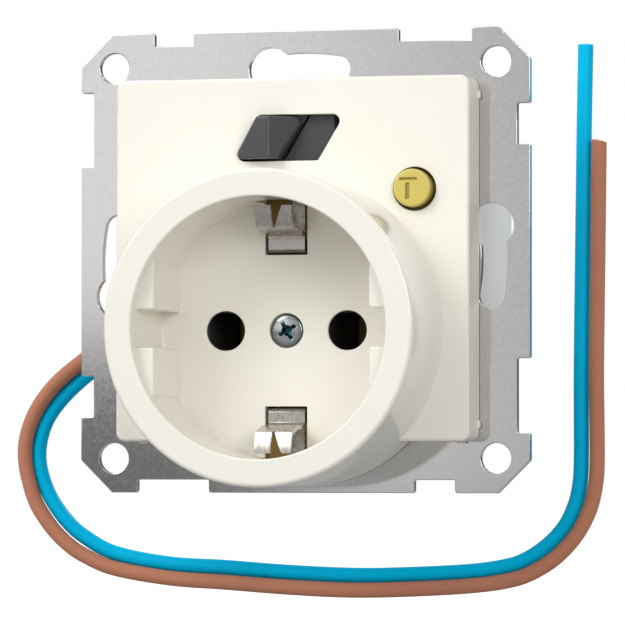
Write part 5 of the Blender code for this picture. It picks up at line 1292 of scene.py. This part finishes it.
class SOCKETLOOKS_OT_test_button(Operator):
    """Yellow test button with its sunk mark, flange and stem"""
    bl_idname = "socket_looks.test_button"
    bl_label = "Test button"

    def execute(self, context):
        settings = context.scene.socket_controls
        centre = np.array([BUTTON_X, BUTTON_Z])
        stem_centre = np.array([STEM_X, STEM_Z])
        inset, depth = quarter(settings.button_edge, 8)
        radius = BUTTON_DIAMETER / 2
        crown = np.stack([radius - inset, BUTTON_FRONT + depth], axis=1)
        stem = STEM_DIAMETER / 2
        flange_back = FLANGE_FRONT + FLANGE_THICKNESS
        rest = [(radius, FLANGE_FRONT), (FLANGE_RADIUS, FLANGE_FRONT), (FLANGE_RADIUS, flange_back)]
        cap = turned(np.vstack([crown, rest]), centre, 96)
        shaft = turned([(stem, flange_back), (stem, BUTTON_END)], stem_centre, 96)
        button = body_from("yellow_button", np.vstack([cap, shaft]))
        mark_floor = BUTTON_FRONT + settings.mark_depth
        for mark in (MARK_BAR, MARK_POST):
            outline = rounded(box_outline(*mark), MARK_CORNER, 4) + centre
            carve(button, "DIFFERENCE", block(outline, BUTTON_FRONT - OVER, mark_floor))
        yellow = plastic("yellow_plastic", settings.yellow, roughness=0.3, swing=0.1, grain=3000.0,
                         depth=0.003 * MM, tone=0.05)
        # Painted shade: the yellow darkens to olive in the mark's pits and down the button's side
        paint_depth_shade(yellow, MARK_SHADE, BUTTON_FRONT + MARK_SHADE_DEPTH, mark_floor)
        present(button, yellow, "yellow_plastic", "test_key", "test_button")
        return {"FINISHED"}


class SOCKETLOOKS_OT_earth_strip(Operator):
    """Nickel-plated strip, folded into a split clip at each end"""
    bl_idname = "socket_looks.earth_strip"
    bl_label = "Earth strip"

    def execute(self, context):
        half = self.clip_path()
        half_width = STRIP_WIDTH / 2
        path = np.vstack([half, (half * (-1, 1))[::-1]]) + (SOCKET_Z, 0.0)
        outline = self.ribbon(path, STRIP_THICKNESS)
        strip = body_from("nickel_strip", block(outline, -half_width, half_width)[:, :, [1, 2, 0]])
        tip = half[0, 0] + OVER
        root = half[3, 0] - GAP
        slits = []
        for side in (-1, 1):
            wedge = np.array([(-SLIT_LEFT, SOCKET_Z + side * tip), (SLIT_ROOT, SOCKET_Z + side * root),
                              (SLIT_RIGHT, SOCKET_Z + side * tip)])
            slits.append(block(rounded(wedge, SLIT_RADII, 6), half[0, 1] - OVER, half[3, 1]))
        hole = circle(SHAFT_BORE_DIAMETER / 2, SOCKET_CENTRE)
        slits.append(block(hole, STRIP_FLAT - OVER, STRIP_FLAT + OVER))
        carve(strip, "DIFFERENCE", *slits)
        soften(strip, STRIP_EDGE, 2, 40.0)
        carve(strip, "UNION", *self.backing(BACKING_LEFT, half_width, 0.0))
        # Painted shade: dark amber plates behind the slits put brown shade deep in the earth slots
        upper, lower = self.backing(-SHADE_PLATE_SIDE, SHADE_PLATE_SIDE, STRIP_THICKNESS)
        backing = carve(body_from("brass_backing", upper), "UNION", lower)
        shade_brass = metal("backing_brass", (0.28, 0.17, 0.06), roughness=0.4)
        present(backing, shade_brass, "brass", "case")
        nickel = metal("nickel_plate", (0.66, 0.62, 0.58), roughness=0.16, swing=0.2, grain=3600.0,
                       stretch=0.25, patch=1100.0, depth=0.01 * MM, tone=0.3)
        # Painted shade: the strip darkens to brown deep in the earth slots
        paint_depth_shade(nickel, STRIP_SHADE, *(FLOOR_FRONT + depth for depth in STRIP_SHADE_DEPTHS))
        present(strip, nickel, "nickel_plate", "case", "earth_strip")
        return {"FINISHED"}

    def clip_path(self):
        """Distance from the socket's middle and Y, from the tip to the flat run, with soft bends."""
        run = FLOOR_FRONT + CLIP_SETBACK + STRIP_THICKNESS / 2
        path = CLIP_BENDS * (CLIP_BULGE, -CLIP_HEIGHT) + (CLIP_ROOT, FLOOR_FRONT)
        foot = [(CLIP_ROOT, run - STRIP_THICKNESS), (CLIP_ROOT - STRIP_THICKNESS, run),
                (CLIP_FOLD + STRIP_THICKNESS / 2, run), (CLIP_FOLD, run + STRIP_THICKNESS / 2),
                (CLIP_FOLD, STRIP_FLAT)]
        return np.vstack([path, foot])

    def ribbon(self, path, thickness):
        """Closed outline at half the thickness to both sides of a path, with mitred bends."""
        mitre = mitres(path) * thickness / 2
        return np.vstack([path + mitre, (path - mitre)[::-1]])

    def backing(self, left, right, gap):
        """Two flat plates behind the clips, one for each, at a gap behind the flush run."""
        front = FLOOR_FRONT + CLIP_SETBACK + BACKING_GAP + gap
        plates = []
        for side in (-1, 1):
            low, high = sorted((side * (CLIP_ROOT - STRIP_THICKNESS), side * BACKING_REACH))
            outline = box_outline(left, low, right, high) + SOCKET_CENTRE
            plates.append(block(outline, front, front + STRIP_THICKNESS))
        return plates


class SOCKETLOOKS_OT_cover_screw(Operator):
    """Central screw with a cross recess"""
    bl_idname = "socket_looks.cover_screw"
    bl_label = "Cover screw"

    def execute(self, context):
        top = SCREW_LOW.y + SCREW_SINK
        seat = top + SCREW_HEAD_HEIGHT
        head = SCREW_HEAD_RADIUS
        turn = np.linspace(0.25, 1.0, 10) * np.pi / 2
        dome = np.stack([head * np.sin(turn), top + SCREW_DOME * (1 - np.cos(turn))], axis=1)
        dome[0, 1] = top
        shaft = [(head, seat), (SCREW_SHAFT_RADIUS, seat), (SCREW_SHAFT_RADIUS, SCREW_HIGH.y)]
        screw = body_from("zinc_screw", turned(np.vstack([dome, shaft]), SOCKET_CENTRE, 96))
        for angle in (0.0, np.pi / 2):
            carve(screw, "DIFFERENCE", self.arm(angle + RECESS_TURN, top))
        core = [(RECESS_CORE, top - OVER), (RECESS_CORE, top), (RECESS_CORE * RECESS_CORE_TAPER, seat)]
        carve(screw, "DIFFERENCE", turned(core, SOCKET_CENTRE, 24))
        soften(screw, SCREW_EDGE, 2, 50.0)
        zinc = metal("zinc_plate", (0.62, 0.64, 0.64), roughness=0.1, swing=0.15, grain=4000.0, stretch=1.0,
                     patch=1500.0, depth=0.006 * MM, tone=0.35)
        # Painted shade: the zinc darkens to teal deep in the cross recess
        paint_depth_shade(zinc, SCREW_RECESS_SHADE, *(top + depth for depth in SCREW_RECESS_SHADE_DEPTHS))
        present(screw, zinc, "zinc_plate", "case", "cover_screw")
        return {"FINISHED"}

    def arm(self, angle, top):
        """One slot of the cross, narrower at its bottom."""
        wide = box_outline(-RECESS_SPAN / 2, -RECESS_ARM / 2, RECESS_SPAN / 2, RECESS_ARM / 2)
        narrow = wide * RECESS_ARM_TAPER
        outlines = [spun(outline, angle) + SOCKET_CENTRE for outline in (wide, wide, narrow)]
        return levelled(outlines, (top - OVER, top, top + RECESS_DEPTH))


class SOCKETLOOKS_OT_rear_case(Operator):
    """Housing, rear cover, long screws and release buttons behind the wall"""
    bl_idname = "socket_looks.rear_case"
    bl_label = "Rear case"

    def execute(self, context):
        settings = context.scene.socket_rear
        grey = plastic("housing_plastic", settings.grey, roughness=0.38, swing=0.12, grain=2400.0,
                       depth=0.004 * MM, tone=0.05)
        steel = metal("screw_steel", (0.55, 0.55, 0.57), roughness=0.25)
        orange = plastic("release_plastic", (0.80, 0.30, 0.05), roughness=0.35)
        for name in ("rcd_housing", "rear_cover"):
            shell = soften(copy_of(name, name + "_shell"), settings.edge, 3, 40.0)
            present(shell, grey, "housing_plastic", "case", name)
        for number in range(1, 5):
            name = f"housing_screw_{number}"
            screw = soften(copy_of(name, name + "_body"), HOUSING_SCREW_EDGE, 2, 40.0)
            present(screw, steel, "spring_steel", "case", name)
        brass = metal("contact_brass", (0.45, 0.33, 0.15), roughness=0.3)
        for side in ("left", "right"):
            name = side + "_contact"
            low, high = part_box(name)
            clear = box_outline(low.x - OVER, low.z - OVER, high.x + OVER, high.z + OVER)
            leaves = carve(copy_of(name, name + "_leaves"), "DIFFERENCE",
                           block(clear, low.y - OVER, low.y + CONTACT_SETBACK))
            present(leaves, brass, "brass", "case", name)
        for terminal in ("line", "neutral", "earth"):
            name = "release_button_" + terminal
            cap = soften(copy_of(name, name + "_cap"), RELEASE_EDGE, 3, 40.0)
            present(cap, orange, "release_plastic", "release_" + terminal, name)
        return {"FINISHED"}


class SOCKETLOOKS_OT_inner_parts(Operator):
    """Finishes for the CAD nodes that stay, inside the socket"""
    bl_idname = "socket_looks.inner_parts"
    bl_label = "Inner parts"

    def execute(self, context):
        spring = metal("spring_steel", (0.50, 0.50, 0.52), roughness=0.25)
        brass = metal("brass", (0.72, 0.56, 0.28), roughness=0.2)
        silver = metal("silver_contact", (0.80, 0.78, 0.74), roughness=0.18)
        copper = metal("copper", (0.72, 0.38, 0.22), roughness=0.25)
        # Painted shade: the base is near black so that the pin holes read as deep shade
        hole_shade_base = plastic("thermoset", (0.05, 0.05, 0.055), roughness=0.45)
        carrier = plastic("carrier_resin", (0.80, 0.79, 0.74), roughness=0.45)
        board = plastic("board", (0.06, 0.24, 0.12), roughness=0.4)
        black = plastic("black_case", (0.04, 0.04, 0.045), roughness=0.45)
        ceramic = plastic("ceramic", (0.62, 0.55, 0.40), roughness=0.6)
        coat = plastic("varistor_coat", (0.05, 0.16, 0.42), roughness=0.35)
        finishes = {
            spring: ["toggle_pin", "test_spring", "mechanism_frame", "clamp_spring_line",
                     "clamp_spring_neutral", "clamp_spring_earth", "trip_plunger"],
            brass: ["cover_screw_nut", "earth_link", "test_contact",
                    "terminal_line", "terminal_neutral", "terminal_earth"],
            silver: ["moving_contact_line", "moving_contact_neutral", "fixed_contact_line",
                     "fixed_contact_neutral"],
            copper: ["transformer_winding", "line_conductor", "neutral_conductor"],
            hole_shade_base: ["socket_base"],
            carrier: ["contact_carrier"],
            board: ["circuit_board"],
            black: ["transformer_core", "trip_relay"],
            ceramic: ["test_resistor"],
            coat: ["varistor"],
        }
        for material, names in finishes.items():
            for name in names:
                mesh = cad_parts[name].data
                mesh.materials.clear()
                mesh.materials.append(material)
        return {"FINISHED"}


class SOCKETLOOKS_PT_panel(Panel):
    """Settings and steps of the socket's looks"""
    bl_idname = "SOCKETLOOKS_PT_panel"
    bl_label = "Socket looks"
    bl_space_type = "VIEW_3D"
    bl_region_type = "UI"
    bl_category = "Socket"

    def draw(self, context):
        scene = context.scene
        for settings, steps in PANEL_ROWS:
            box = self.layout.box()
            for step in steps:
                box.operator(step.bl_idname)
            if settings:
                group = getattr(scene, settings)
                for label in group.bl_rna.properties.keys():
                    if label not in {"rna_type", "name"}:
                        box.prop(group, label)


PANEL_ROWS = [
    ("socket_studio", (SOCKETLOOKS_OT_studio,)),
    ("socket_leads", (SOCKETLOOKS_OT_leads,)),
    ("socket_plate", (SOCKETLOOKS_OT_plate,)),
    ("socket_cover", (SOCKETLOOKS_OT_cover,)),
    ("socket_controls", (SOCKETLOOKS_OT_toggle, SOCKETLOOKS_OT_test_button)),
    ("socket_rear", (SOCKETLOOKS_OT_rear_case,)),
    ("", (SOCKETLOOKS_OT_earth_strip, SOCKETLOOKS_OT_cover_screw, SOCKETLOOKS_OT_inner_parts)),
]
SETTINGS = {
    "socket_studio": StudioSettings,
    "socket_leads": LeadSettings,
    "socket_plate": PlateSettings,
    "socket_cover": CoverSettings,
    "socket_controls": ControlSettings,
    "socket_rear": RearSettings,
}
CLASSES = (*SETTINGS.values(), SOCKETLOOKS_OT_studio, SOCKETLOOKS_OT_leads, SOCKETLOOKS_OT_plate,
           SOCKETLOOKS_OT_cover, SOCKETLOOKS_OT_toggle, SOCKETLOOKS_OT_test_button,
           SOCKETLOOKS_OT_earth_strip, SOCKETLOOKS_OT_cover_screw, SOCKETLOOKS_OT_rear_case,
           SOCKETLOOKS_OT_inner_parts, SOCKETLOOKS_PT_panel)


def register():
    """Register the classes and hang the settings on the scene."""
    for kind in CLASSES:
        bpy.utils.register_class(kind)
    for name, kind in SETTINGS.items():
        setattr(bpy.types.Scene, name, PointerProperty(type=kind))


def unregister():
    """Take the settings and classes away again."""
    for name in SETTINGS:
        delattr(bpy.types.Scene, name)
    for kind in reversed(CLASSES):
        bpy.utils.unregister_class(kind)


def main():
    """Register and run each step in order."""
    register()
    bpy.ops.socket_looks.studio()
    bpy.ops.socket_looks.leads()
    bpy.ops.socket_looks.plate()
    bpy.ops.socket_looks.cover()
    bpy.ops.socket_looks.toggle()
    bpy.ops.socket_looks.test_button()
    bpy.ops.socket_looks.earth_strip()
    bpy.ops.socket_looks.cover_screw()
    bpy.ops.socket_looks.rear_case()
    bpy.ops.socket_looks.inner_parts()


if __name__ == "__main__":
    main()
